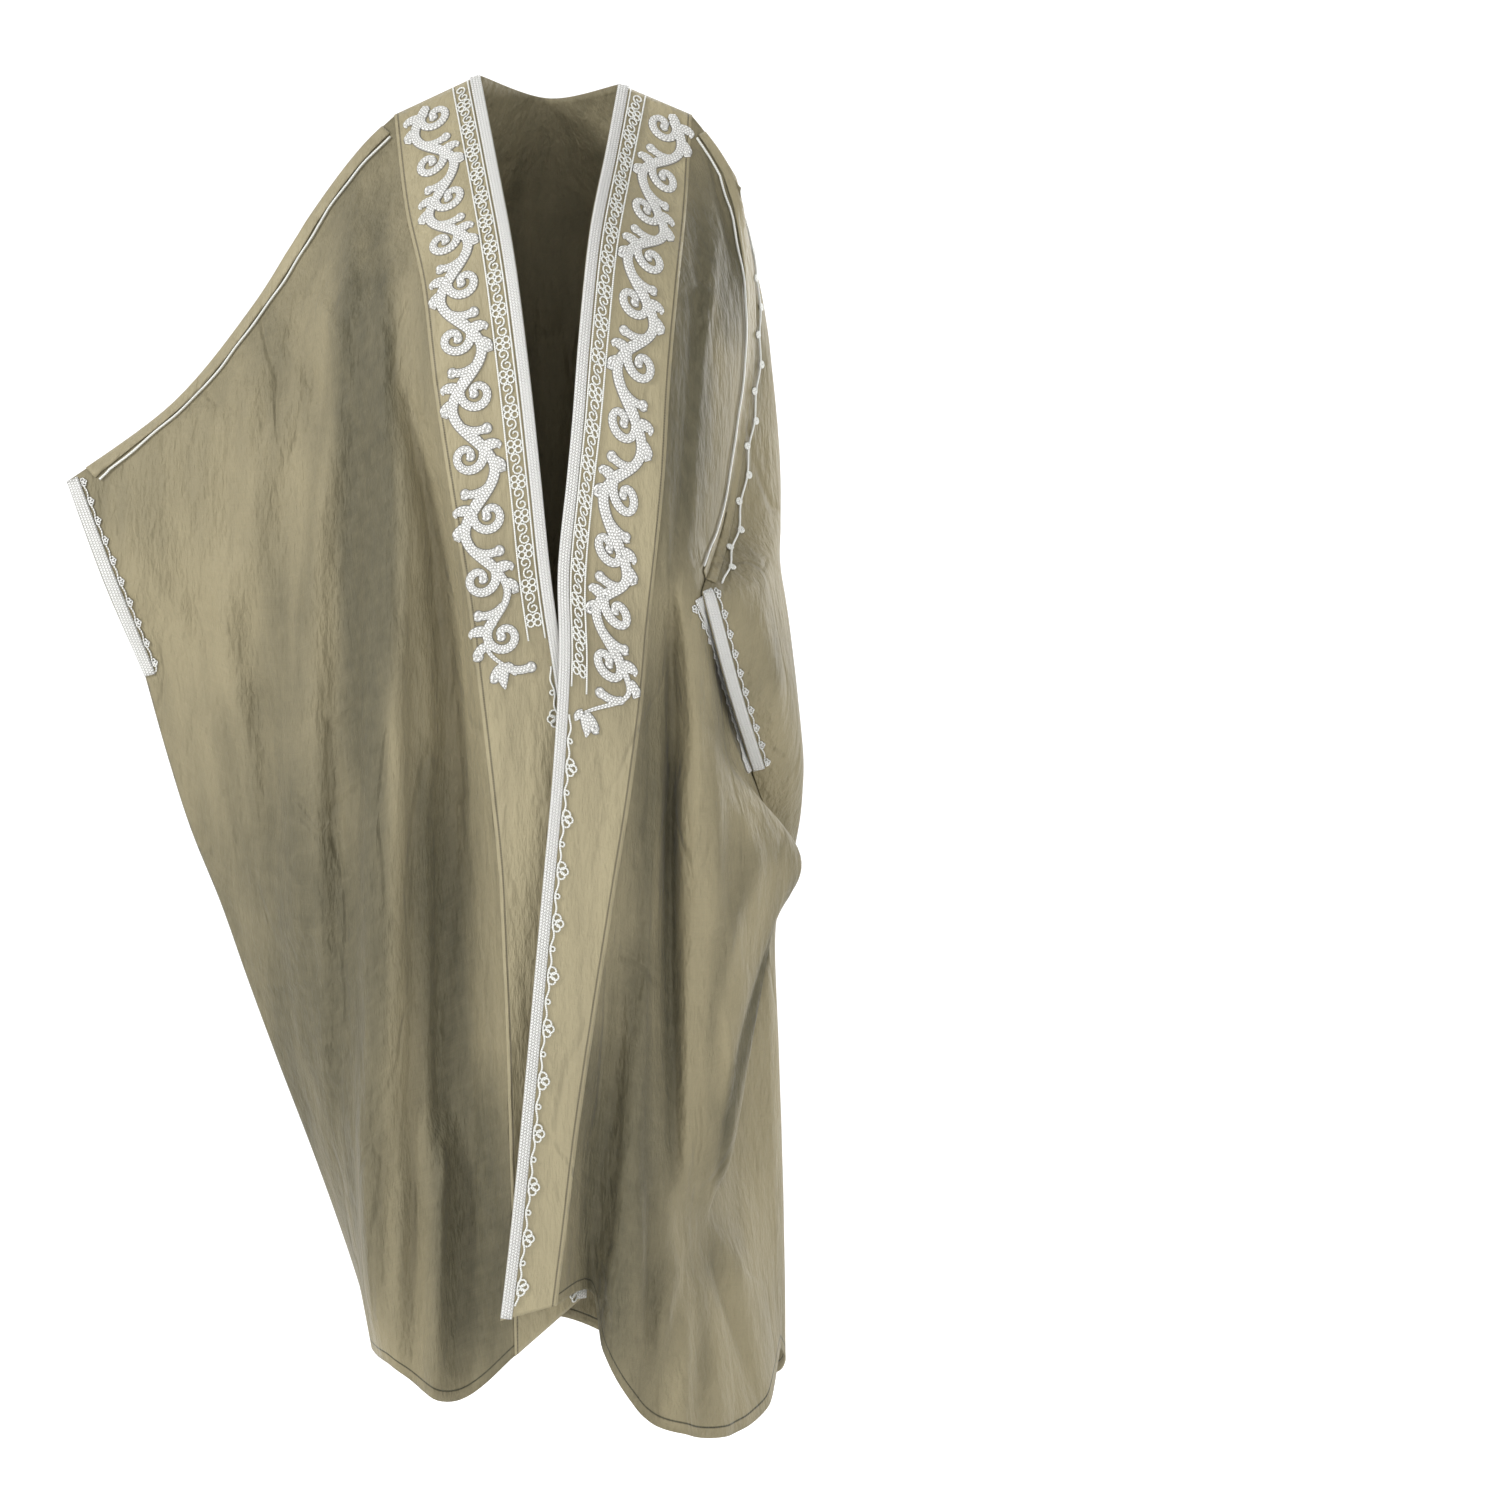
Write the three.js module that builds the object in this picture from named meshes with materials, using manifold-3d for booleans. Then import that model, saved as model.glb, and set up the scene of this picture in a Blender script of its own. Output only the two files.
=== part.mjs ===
// A bisht: an open-fronted cloak of thin cloth, hollow, in the pose of a wearer whose right arm is
// held out and whose left arm is bent. Millimetres; +Z up, -Y to the front, +X to the wearer's left.
// The origin is at the base of the neck, between the two shoulder seams.
import * as THREE from "three";
import Module from "manifold-3d";

const wasm = await Module();
wasm.setup();

// Cloth and trim thicknesses, and the clearances between the pieces
const CLOTH = 1.8;
const FACING = 1.0;
const LACE = 0.8;
const BRAID = 1.8;
const APPLIQUE = 1.8;
const STRIP = 0.9;
const SEAM_GAP = 0.5;
const SEAM_LEAN = 0.15;
const LAID_GAP = 0.35;
const TRIM_GAP = 0.7;
const STRIP_GAP = 1.2;
const CUFF_GAP = 0.6;
const NECK_GAP = 0.9;
const ROW_MERGE = 0.05;
const APPLIQUE_GAP = 1.1;

// Widths of the trims
const BRAID_WIDTH = 12;
const LACE_INNER = 14;
const LACE_OUTER = 33;
const CUFF_BRAID_WIDTH = 13;
const NECK_BRAID_WIDTH = 12;

// Cords along the sleeve strips, with knots on the rear one
const CORD_RADIUS = 1.3;
const KNOT_RADIUS = 3.4;
const KNOT_PITCH = 31;
const KNOT_HALF = 4;
const CORD_SIDES = 4;

// How far the strips and cords lie from the shoulder and sleeve seam, to the front and to the rear
const REACH_RIGHT = { front: 16, rear: 5, frontCord: 21, rearCord: 11 };
const REACH_LEFT = { front: 11, rear: 11, frontCord: 16, rearCord: 18 };
const RIDGE_HALF = 0.7;

// Ends of the trims short of a seam, in mesh steps, and seam stops that are merged
const CUFF_BRAID_END = 0.05;
const CUFF_BRAID_TUCKED_END = 1.05;
const NECK_BRAID_END = 0.04;
const STOP_MERGE = 0.02;
const STRIP_END = 14;
const INSET_STEPS = 8;

// Mesh density of the cloth: steps between two sections, between two stations, across a facing
const ROW_STEPS = 2;
const COLUMN_STEPS = 3;
const BAND_STEPS = 2;
const BACK_STEPS = 3;

// Sections at the top and at the end of each cuff opening
const RIGHT_CUFF = [3, 5];
const LEFT_CUFF = [5, 7];

// Sections of the wearer's right front. zIn and zOut are the heights at the front edge and at the
// side, rise lifts the middle of the row; the other columns are the [x, y] of each station.
const RIGHT_STATIONS = ["edge", "band", "valley", "ridge", "fall", "wing", "side"];
const RIGHT_SECTIONS = [
  { zIn: 2, zOut: -175, rise: 38, edge: [-75, -3], band: [-166, -5], valley: [-192, -5],
    ridge: [-214, -5], fall: [-235, -5], wing: [-254, -5], side: [-271, -5] },
  { zIn: -100, zOut: -250, rise: 6, edge: [-59, -86], band: [-154, -74], valley: [-182, -68],
    ridge: [-208, -60], fall: [-240, -45], wing: [-280, -24], side: [-317, -5] },
  { zIn: -210, zOut: -352, rise: 8, edge: [-42, -158], band: [-136, -140], valley: [-165, -124],
    ridge: [-196, -112], fall: [-245, -78], wing: [-322, -40], side: [-400, -5] },
  { zIn: -330, zOut: -434, rise: 8, edge: [-27, -172], band: [-124, -158], valley: [-150, -136],
    ridge: [-176, -134], fall: [-245, -84], wing: [-372, -42], side: [-510, -5] },
  { zIn: -440, zOut: -540, rise: 6, edge: [-15, -166], band: [-107, -158], valley: [-131, -124],
    ridge: [-156, -146], fall: [-236, -88], wing: [-352, -52], side: [-469, -32] },
  { zIn: -545, zOut: -640, rise: 4, edge: [-4, -160], band: [-90, -155], valley: [-120, -112],
    ridge: [-158, -148], fall: [-232, -92], wing: [-330, -50], side: [-428, -4] },
  { zIn: -650, zOut: -720, rise: 0, edge: [12, -149], band: [-77, -150], valley: [-113, -104],
    ridge: [-162, -146], fall: [-228, -96], wing: [-316, -50], side: [-406, -2] },
  { zIn: -750, zOut: -800, rise: 0, edge: [26, -144], band: [-66, -149], valley: [-110, -98],
    ridge: [-165, -144], fall: [-225, -98], wing: [-302, -50], side: [-381, 0] },
  { zIn: -830, zOut: -880, rise: 0, edge: [34, -138], band: [-58, -148], valley: [-109, -96],
    ridge: [-168, -142], fall: [-222, -100], wing: [-286, -50], side: [-349, 0] },
  { zIn: -910, zOut: -960, rise: 0, edge: [39, -128], band: [-54, -146], valley: [-108, -98],
    ridge: [-170, -140], fall: [-219, -98], wing: [-270, -48], side: [-321, 0] },
  { zIn: -1000, zOut: -1050, rise: 0, edge: [42, -118], band: [-50, -145], valley: [-107, -102],
    ridge: [-173, -137], fall: [-214, -92], wing: [-252, -44], side: [-288, 0] },
  { zIn: -1110, zOut: -1150, rise: 0, edge: [42, -106], band: [-47, -146], valley: [-107, -110],
    ridge: [-179, -133], fall: [-208, -86], wing: [-230, -40], side: [-250, 0] },
  { zIn: -1200, zOut: -1250, rise: 0, edge: [38, -100], band: [-44, -150], valley: [-108, -120],
    ridge: [-181, -130], fall: [-199, -80], wing: [-208, -38], side: [-215, 2] },
  { zIn: -1285, zOut: -1338, rise: 0, edge: [32, -98], band: [-42, -156, -1338],
    valley: [-104, -140, -1386], ridge: [-168, -124, -1350], fall: [-184, -82, -1346],
    wing: [-190, -40, -1343], side: [-188, 4] },
];

// Sections of the wearer's left front, which laps over the right one below the opening. Its outer
// stations make the fold of spare cloth that hangs under the bent arm.
const LEFT_STATIONS = [
  "edge", "band", "hollow", "lap", "crease", "column", "pouch", "under", "side",
];
const LEFT_SECTIONS = [
  { zIn: -5, zOut: -117, rise: 35, edge: [72, -3], band: [150, -17], hollow: [161, -19],
    lap: [171, -21], crease: [180, -22], column: [187, -23], pouch: [193, -24],
    under: [197, -25], side: [201, -25] },
  { zIn: -85, zOut: -208, rise: 6, edge: [56, -72], band: [140, -74], hollow: [151, -72],
    lap: [162, -68], crease: [173, -62], column: [184, -55], pouch: [194, -47],
    under: [203, -37], side: [210, -27] },
  { zIn: -180, zOut: -295, rise: 6, edge: [36, -140], band: [128, -128], hollow: [141, -120],
    lap: [153, -111], crease: [165, -101], column: [177, -89], pouch: [189, -74],
    under: [200, -54], side: [209, -30] },
  { zIn: -285, zOut: -383, rise: 6, edge: [24, -169], band: [118, -152], hollow: [132, -142],
    lap: [145, -131], crease: [157, -118], column: [169, -103], pouch: [180, -86],
    under: [189, -64], side: [197, -40] },
  { zIn: -370, zOut: -476, rise: 0, edge: [18, -168], band: [112, -158], hollow: [124, -149],
    lap: [135, -140], crease: [146, -129], column: [156, -115], pouch: [165, -99],
    under: [173, -80], side: [179, -59] },
  { zIn: -440, zOut: -554, rise: 0, edge: [12, -165], band: [104, -160], hollow: [110, -158],
    lap: [117, -156], crease: [124, -155], column: [131, -153], pouch: [138, -149],
    under: [145, -144], side: [150.6, -138.2] },
  { zIn: -530, zOut: -650, rise: 0, edge: [3, -162], band: [96, -157], hollow: [107, -142],
    lap: [115, -128], crease: [123, -124], column: [137, -134], pouch: [156, -112],
    under: [171, -80], side: [187, -48] },
  { zIn: -620, zOut: -740, rise: 0, edge: [4, -160], band: [89, -155], hollow: [102, -134],
    lap: [113, -122], crease: [124, -106], column: [144, -128], pouch: [180, -88],
    under: [200, -56], side: [212.4, -30.6] },
  { zIn: -740, zOut: -827, rise: 0, edge: [-3, -162], band: [76, -158], hollow: [95, -136],
    lap: [109, -127], crease: [122, -98], column: [147, -126], pouch: [260, -46],
    under: [244, -18], side: [243, 12] },
  { zIn: -850, zOut: -908, rise: 0, edge: [-13, -164], band: [60, -160], hollow: [84, -136],
    lap: [104, -132], crease: [121, -96], column: [149, -120], pouch: [233, -60],
    under: [196, -20], side: [237, 24] },
  { zIn: -970, zOut: -1030, rise: 0, edge: [-24, -168], band: [41, -163], hollow: [68, -134],
    lap: [97, -139], crease: [121, -100], column: [147, -116], pouch: [210, -74],
    under: [166, -32], side: [240, 27] },
  { zIn: -1100, zOut: -1150, rise: 0, edge: [-36, -173], band: [22, -166], hollow: [50, -131],
    lap: [86, -146], crease: [122, -110], column: [142, -112], pouch: [186, -76],
    under: [158, -42], side: [244, 29] },
  { zIn: -1200, zOut: -1245, rise: 0, edge: [-46, -178], band: [10, -170], hollow: [40, -129],
    lap: [74, -149], crease: [112, -134], column: [136, -108], pouch: [158, -84],
    under: [180, -62], side: [247, 30] },
  { zIn: -1297, zOut: -1362, rise: 0, edge: [-57, -183], band: [0, -178, -1283],
    hollow: [37, -128, -1276], lap: [50, -150, -1335], crease: [88, -158, -1400],
    column: [138, -148, -1424], pouch: [188, -112, -1430], under: [228, -50, -1412],
    side: [250, 28] },
];

// Sections of the back, from the right side round to the left side. zRight, zMid and zLeft are the
// heights at the right side, in the middle and at the left side.
const BACK_STATIONS = [
  "sideRight", "wing", "shoulderRight", "neckRight", "spine",
  "neckLeft", "shoulderLeft", "flank", "arm", "sideLeft",
];
const BACK_SECTIONS = [
  { zRight: -175, zMid: -10, zLeft: -117, sideRight: [-271, -5], wing: [-225, -6.6, -110],
    shoulderRight: [-166, -6, -42.1], neckRight: [-75, -3, 2], spine: [0, 58, -10],
    neckLeft: [72, -3, -5], shoulderLeft: [150, -17, -46.5], flank: [171, -21, -65],
    arm: [187, -23, -86.5], sideLeft: [201, -25] },
  { zRight: -250, zMid: -120, zLeft: -208, sideRight: [-317, -5], wing: [-258, 30],
    shoulderRight: [-186, 66], neckRight: [-82, 98], spine: [0, 112],
    neckLeft: [78, 104], shoulderLeft: [150, 82], flank: [200, 42], arm: [221, 4],
    sideLeft: [210, -27] },
  { zRight: -352, zMid: -235, zLeft: -295, sideRight: [-400, -5], wing: [-322, 34],
    shoulderRight: [-212, 84], neckRight: [-86, 126], spine: [0, 132],
    neckLeft: [86, 128], shoulderLeft: [166, 104], flank: [218, 60], arm: [237, 12],
    sideLeft: [209, -30] },
  { zRight: -434, zMid: -330, zLeft: -383, sideRight: [-510, -5], wing: [-396, 38],
    shoulderRight: [-240, 82], neckRight: [-90, 132], spine: [0, 138],
    neckLeft: [88, 136], shoulderLeft: [172, 117], flank: [229, 68], arm: [245, 12],
    sideLeft: [197, -40] },
  { zRight: -540, zMid: -430, zLeft: -476, sideRight: [-474, 30], wing: [-370, 45],
    shoulderRight: [-238, 84], neckRight: [-90, 135], spine: [0, 140],
    neckLeft: [92, 138], shoulderLeft: [178, 119], flank: [237, 62], arm: [243, -12],
    sideLeft: [179, -59] },
  { zRight: -640, zMid: -520, zLeft: -554, sideRight: [-428, -4], wing: [-335, 46],
    shoulderRight: [-232, 86], neckRight: [-90, 136], spine: [0, 140],
    neckLeft: [96, 139], shoulderLeft: [192, 113], flank: [252, 24], arm: [222, -88],
    sideLeft: [152, -141] },
  { zRight: -720, zMid: -620, zLeft: -650, sideRight: [-406, -2], wing: [-318, 46],
    shoulderRight: [-226, 88], neckRight: [-90, 136], spine: [0, 140],
    neckLeft: [98, 140], shoulderLeft: [204, 104], flank: [262, 8], arm: [238, -76],
    sideLeft: [181, -92] },
  { zRight: -800, zMid: -710, zLeft: -740, sideRight: [-381, 0], wing: [-302, 48],
    shoulderRight: [-218, 90], neckRight: [-90, 136], spine: [0, 141],
    neckLeft: [99, 143], shoulderLeft: [208, 108], flank: [270, 24], arm: [254, -26],
    sideLeft: [214, -33] },
  { zRight: -880, zMid: -810, zLeft: -827, sideRight: [-349, 0], wing: [-286, 48],
    shoulderRight: [-209, 92], neckRight: [-90, 137], spine: [0, 142],
    neckLeft: [101, 148], shoulderLeft: [206, 120], flank: [262, 62], arm: [260, 32],
    sideLeft: [243, 12] },
  { zRight: -960, zMid: -900, zLeft: -908, sideRight: [-321, 0], wing: [-268, 50],
    shoulderRight: [-199, 92], neckRight: [-89, 138], spine: [0, 142],
    neckLeft: [104, 153], shoulderLeft: [204, 130], flank: [244, 84], arm: [246, 52],
    sideLeft: [237, 24] },
  { zRight: -1050, zMid: -1010, zLeft: -1030, sideRight: [-288, 0], wing: [-245, 50],
    shoulderRight: [-188, 92], neckRight: [-87, 137], spine: [0, 140],
    neckLeft: [105, 155], shoulderLeft: [203, 134], flank: [243, 88], arm: [250, 56],
    sideLeft: [240, 27] },
  { zRight: -1150, zMid: -1130, zLeft: -1150, sideRight: [-250, 0], wing: [-218, 50],
    shoulderRight: [-172, 92], neckRight: [-84, 132], spine: [0, 136],
    neckLeft: [105, 155], shoulderLeft: [204, 134], flank: [246, 88], arm: [253, 57],
    sideLeft: [244, 29] },
  { zRight: -1250, zMid: -1230, zLeft: -1245, sideRight: [-215, 2], wing: [-196, 48],
    shoulderRight: [-160, 88], neckRight: [-81, 124], spine: [0, 130],
    neckLeft: [104, 153], shoulderLeft: [205, 132], flank: [248, 87], arm: [256, 58],
    sideLeft: [247, 30] },
  { zRight: -1338, zMid: -1345, zLeft: -1362, sideRight: [-188, 4], wing: [-180, 46, -1352],
    shoulderRight: [-148, 84, -1392], neckRight: [-86, 116, -1410], spine: [0, 126, -1342],
    neckLeft: [98, 150, -1384], shoulderLeft: [204, 130, -1416], flank: [248, 86, -1402],
    arm: [258, 58, -1384], sideLeft: [250, 28] },
];

// Large folds: a soft ridge (height > 0) or trough (< 0) along the line from [x, z] to [x, z]
const RIGHT_FOLDS = [
  { from: [-120, -1080], to: [-121, -1420], width: 15, height: 26 },
  { from: [-232, -330], to: [-250, -900], width: 26, height: 12 },
  { from: [-208, -360], to: [-212, -1080], width: 16, height: -10 },
  { from: [-300, -330], to: [-345, -700], width: 22, height: 9 },
  { from: [-345, -380], to: [-300, -800], width: 20, height: -8 },
  { from: [-268, -520], to: [-262, -1040], width: 20, height: 8 },
  { from: [-118, -330], to: [-96, -760], width: 12, height: -8 },
];
const LEFT_FOLDS = [
  { from: [160, -520], to: [168, -900], width: 12, height: 10 },
  { from: [196, -860], to: [176, -1190], width: 16, height: 9 },
  { from: [60, -1090], to: [70, -1400], width: 15, height: 9 },
  { from: [150, -1250], to: [128, -1440], width: 14, height: 10 },
  { from: [168, -1235], to: [196, -1450], width: 13, height: -9 },
  { from: [186, -1225], to: [236, -1420], width: 13, height: 8 },
];
const BACK_FOLDS = [
  { from: [-60, -300], to: [-44, -1400], width: 26, height: 12 },
  { from: [-118, -420], to: [-112, -1400], width: 24, height: -14 },
  { from: [28, -360], to: [44, -1380], width: 24, height: -13 },
  { from: [98, -300], to: [96, -1410], width: 28, height: 12 },
  { from: [158, -520], to: [156, -1430], width: 22, height: -11 },
  { from: [-196, -420], to: [-160, -1380], width: 26, height: 11 },
  { from: [-300, -420], to: [-262, -960], width: 28, height: 9 },
  { from: [-352, -470], to: [-318, -860], width: 22, height: -8 },
];

// Scrollwork: a waving stem; in each half wave a spiral and some sprigs leave it, mirrored in the
// next half. Angles are in degrees from straight across, lengths in millimetres.
const SCROLL_START = 14;
const SCROLL_INNER = 35.5;
const SCROLL_LIMIT = BAND_STEPS * 0.965;
const SCROLL_CENTRE = 64.5;
const STEM_SWING = 17.5;
const STEM_WIDTH = 9.5;
const STEM_STEP = 15.5;
const WAVE_PITCH = 124;
const WAVES_RIGHT = 5.4;
const WAVES_LEFT = 5.7;
const SPIRAL = {
  along: -0.02, radius: 16.5, heading: 116, turns: 1.45, ease: 1.3, width: 8.4, boss: 5, steps: 12,
};
const SPRIGS = [
  { along: 0.08, angle: -20, length: 19, bend: 60, root: 10, tip: 4, steps: 2 },
  { along: 0.2, angle: 20, length: 12, bend: 60, root: 9, tip: 10, steps: 2 },
  { along: 0.36, angle: 130, length: 30, bend: 70, root: 7, tip: 12, steps: 3 },
];

const TWO_PI = Math.PI * 2;
const lerp = (a, b, t) => a + (b - a) * t;
const clamp = (t) => Math.min(1, Math.max(0, t));

/** A section's stations as points, heights filled in between the ends of the row. */
function frontRow(section, stations) {
  const [start, end] = [section[stations[0]], section[stations[stations.length - 1]]];
  return stations.map((name) => {
    const [x, y, z] = section[name];
    const t = clamp((x - start[0]) / (end[0] - start[0]));
    const level = lerp(section.zIn, section.zOut, t) + section.rise * Math.sin(Math.PI * t);
    return new THREE.Vector3(x, y, z ?? level);
  });
}

/** The same for the back, whose rows fall from the middle towards both sides. */
function backRow(section, stations) {
  const [right, left] = [section[stations[0]], section[stations[stations.length - 1]]];
  return stations.map((name) => {
    const [x, y, z] = section[name];
    const t = clamp(x < 0 ? x / right[0] : x / left[0]);
    const level = lerp(section.zMid, x < 0 ? section.zRight : section.zLeft, t);
    return new THREE.Vector3(x, y, z ?? level);
  });
}

/** Catmull-Rom value of a list of points at a fractional index, straight between only two. */
function splineAt(points, place) {
  const last = points.length - 1;
  const i = Math.min(last - 1, Math.floor(place));
  const t = place - i;
  if (last === 1) {
    return points[0].clone().lerp(points[1], t);
  }
  const p0 = points[Math.max(0, i - 1)];
  const [p1, p2] = [points[i], points[i + 1]];
  const p3 = points[Math.min(last, i + 2)];
  const axis = (a, b, c, d) => 0.5 * (2 * b + (c - a) * t + (2 * a - 5 * b + 4 * c - d) * t * t
    + (3 * b - a - 3 * c + d) * t * t * t);
  return new THREE.Vector3(
    axis(p0.x, p1.x, p2.x, p3.x),
    axis(p0.y, p1.y, p2.y, p3.y),
    axis(p0.z, p1.z, p2.z, p3.z),
  );
}

/** The same with corners: the curve is drawn anew between one corner and the next. */
function splineBetween(points, place, corners) {
  const stops = [0, ...corners, points.length - 1];
  const k = Math.max(1, stops.findIndex((stop) => stop >= place));
  return splineAt(points.slice(stops[k - 1], stops[k] + 1), place - stops[k - 1]);
}

/** The sheet's outer surface as rows of points, from its sections; corners holds the sections at
 * which each side has a corner, and turns the stations at which every row has one. */
function sheetGrid(rows, columnSteps, corners, turns) {
  const stations = rows[0].length;
  const grid = [];
  for (let r = 0; r <= (rows.length - 1) * ROW_STEPS; r += 1) {
    const cage = [];
    for (let s = 0; s < stations; s += 1) {
      cage.push(splineBetween(rows.map((row) => row[s]), r / ROW_STEPS, corners[s] ?? []));
    }
    const line = [];
    for (let s = 0; s < stations - 1; s += 1) {
      for (let k = 0; k < columnSteps[s]; k += 1) {
        line.push(splineBetween(cage, s + k / columnSteps[s], turns));
      }
    }
    line.push(cage[stations - 1].clone());
    grid.push(line);
  }
  return grid;
}

/** Outward vertex normals of a grid; turn is +1 or -1. */
function gridNormals(grid, turn) {
  const [rows, columns] = [grid.length, grid[0].length];
  return grid.map((line, r) => line.map((_, c) => {
    const along = grid[Math.min(rows - 1, r + 1)][c].clone()
      .sub(grid[Math.max(0, r - 1)][c]);
    const across = grid[r][Math.min(columns - 1, c + 1)].clone()
      .sub(grid[r][Math.max(0, c - 1)]);
    return across.cross(along).normalize().multiplyScalar(turn);
  }));
}

/** Moves the points of a grid along its normals where a fold's line runs by. */
function addFolds(grid, normals, folds, firstColumn, facing) {
  const lastColumn = grid[0].length - 1;
  grid.forEach((line, r) => line.forEach((point, c) => {
    if (c <= firstColumn || r === 0) {
      return;
    }
    const inset = Math.min(1, (c - firstColumn) / 3) * Math.min(1, (lastColumn - c) / 3);
    const seen = Math.max(0, normals[r][c].y * facing);
    let move = 0;
    for (const fold of folds) {
      const [ax, az] = fold.from;
      const [dx, dz] = [fold.to[0] - ax, fold.to[1] - az];
      const t = ((point.x - ax) * dx + (point.z - az) * dz) / (dx * dx + dz * dz);
      const s = clamp(t);
      const off = Math.hypot(point.x - ax - dx * s, point.z - az - dz * s) / fold.width;
      const fade = Math.sin(Math.PI * Math.min(0.5, s * 1.6));
      move += fold.height * fade * Math.exp(-off * off);
    }
    point.addScaledVector(normals[r][c], move * inset * seen);
  }));
}

const fill = (count, value) => new Array(count).fill(value);
const frontSteps = (stations) => [BAND_STEPS, ...fill(stations.length - 2, COLUMN_STEPS)];

/** One cloth panel: its outer grid, normals and the places of its stations. */
function makePanel(rows, steps, folds, options) {
  const grid = sheetGrid(rows, steps, options.corners, options.turns);
  addFolds(grid, gridNormals(grid, options.turn), folds, options.flat, options.facing);
  const columnOf = steps.reduce((list, n) => [...list, list[list.length - 1] + n], [0]);
  return { grid, normals: gridNormals(grid, options.turn), columnOf, turn: options.turn };
}

const LEFT_STEPS = [BAND_STEPS, 1, 2, 2, 3, 4, 3, 3];
const right = makePanel(
  RIGHT_SECTIONS.map((s) => frontRow(s, RIGHT_STATIONS)),
  frontSteps(RIGHT_STATIONS),
  RIGHT_FOLDS,
  { flat: BAND_STEPS, turn: 1, facing: -1, corners: { 6: RIGHT_CUFF }, turns: [1] },
);
const left = makePanel(
  LEFT_SECTIONS.map((s) => frontRow(s, LEFT_STATIONS)),
  LEFT_STEPS,
  LEFT_FOLDS,
  { flat: BAND_STEPS, turn: -1, facing: -1, corners: { 8: LEFT_CUFF }, turns: [1] },
);
const back = makePanel(
  BACK_SECTIONS.map((s) => backRow(s, BACK_STATIONS)),
  fill(BACK_STATIONS.length - 1, BACK_STEPS),
  BACK_FOLDS,
  { flat: 0, turn: 1, facing: 1, corners: { 0: RIGHT_CUFF, 9: LEFT_CUFF }, turns: [2, 3, 5, 6] },
);

/** The [row, column] places along a panel's seam: over the top, then down its side. */
function seamPath(panel, topColumn, sideColumn) {
  const path = [];
  const step = Math.sign(sideColumn - topColumn);
  for (let c = topColumn; c !== sideColumn; c += step) {
    path.push([0, c]);
  }
  for (let r = 0; r < panel.grid.length; r += 1) {
    path.push([r, sideColumn]);
  }
  return path;
}

const lastOf = (panel) => panel.grid[0].length - 1;
const BACK_NECK_RIGHT = back.columnOf[3];
const BACK_NECK_LEFT = back.columnOf[5];
const seams = {
  right: { front: seamPath(right, 0, lastOf(right)), rear: seamPath(back, BACK_NECK_RIGHT, 0) },
  left: { front: seamPath(left, 0, lastOf(left)), rear: seamPath(back, BACK_NECK_LEFT, lastOf(back)) },
};

const pointAt = (panel, [r, c]) => panel.grid[r][c];

/** Reads a list at a fractional index, its items being places or vectors. */
function between(list, at) {
  const i = Math.min(list.length - 2, Math.floor(at));
  const [a, b, t] = [list[i], list[i + 1], at - i];
  return a.isVector3 ? a.clone().lerp(b, t) : a.map((v, k) => lerp(v, b[k], t));
}

/** How far along its seam each place of a path is, in millimetres. */
function runs(panel, path) {
  const list = [0];
  for (let i = 1; i < path.length; i += 1) {
    list.push(list[i - 1] + pointAt(panel, path[i - 1]).distanceTo(pointAt(panel, path[i])));
  }
  return list;
}

/** The fractional index in a rising list at which a value is reached. */
function indexOf(list, value) {
  const i = list.findIndex((v, k) => k > 0 && v >= value);
  const k = i < 0 ? list.length - 1 : i;
  return k - 1 + (value - list[k - 1]) / (list[k] - list[k - 1]);
}

/** Puts the top edge of the back onto the line of a front's shoulder seam. */
function sewTop(front, { front: frontPath, rear: rearPath }) {
  const tops = [frontPath, rearPath].map((path) => path.filter(([r]) => r === 0));
  const [frontRuns, rearRuns] = [runs(front, tops[0]), runs(back, tops[1])];
  const line = tops[0].map((place) => pointAt(front, place));
  tops[1].forEach((place, i) => {
    const share = rearRuns[i] / rearRuns[rearRuns.length - 1];
    const at = indexOf(frontRuns, share * frontRuns[frontRuns.length - 1]);
    pointAt(back, place).copy(between(line, at));
  });
}

sewTop(right, seams.right);
sewTop(left, seams.left);
back.normals = gridNormals(back.grid, back.turn);

const normalAt = (panel, [r, c]) => panel.normals[r][c];

/** The point of a seam that is nearest to a place on the other panel. */
function nearestPlace(panel, path, point) {
  return path.reduce((best, place) => {
    const gap = pointAt(panel, place).distanceTo(point);
    return gap < best.gap ? { gap, place } : best;
  }, { gap: Infinity, place: path[0] }).place;
}

/** Mitres a panel's edge against its neighbour: half the gap aside, inner edge on the bisector. */
function mitre(panel, path, other, otherPath, centre, lead) {
  return path.map((place) => {
    const point = pointAt(panel, place);
    const normal = normalAt(panel, place);
    const facing = normalAt(other, nearestPlace(other, otherPath, point));
    const tangent = lead.tangentAt(point);
    const outward = point.clone().sub(centre(place)).normalize();
    const bisector = normal.clone().add(facing).addScaledVector(outward, SEAM_LEAN);
    bisector.addScaledVector(tangent, -bisector.dot(tangent)).normalize();
    const aside = tangent.clone().cross(bisector).normalize();
    if (centre(place).clone().sub(point).dot(aside) < 0) {
      aside.negate();
    }
    const reach = Math.min(2.4 * CLOTH, CLOTH / Math.max(0.05, normal.dot(bisector)));
    const inward = bisector.clone().multiplyScalar(-reach);
    return { place, point, normal, bisector, aside, inward };
  });
}

/** The run of a front's seam, with its sewn stretches kept apart from the cuff opening. */
function seamLead(panel, path, [topSection, endSection]) {
  const [top, end] = [topSection * ROW_STEPS, endSection * ROW_STEPS];
  const open = ([r]) => r > top && r < end;
  const tangents = path.map((place, i) => {
    const after = path[Math.min(path.length - 1, i + 1)];
    const before = path[Math.max(0, i - 1)];
    const to = open(after) ? place : after;
    const from = open(before) ? place : before;
    return pointAt(panel, to).clone().sub(pointAt(panel, from)).normalize();
  });
  return {
    tangentAt: (point) => tangents[path.indexOf(nearestPlace(panel, path, point))],
  };
}

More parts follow.
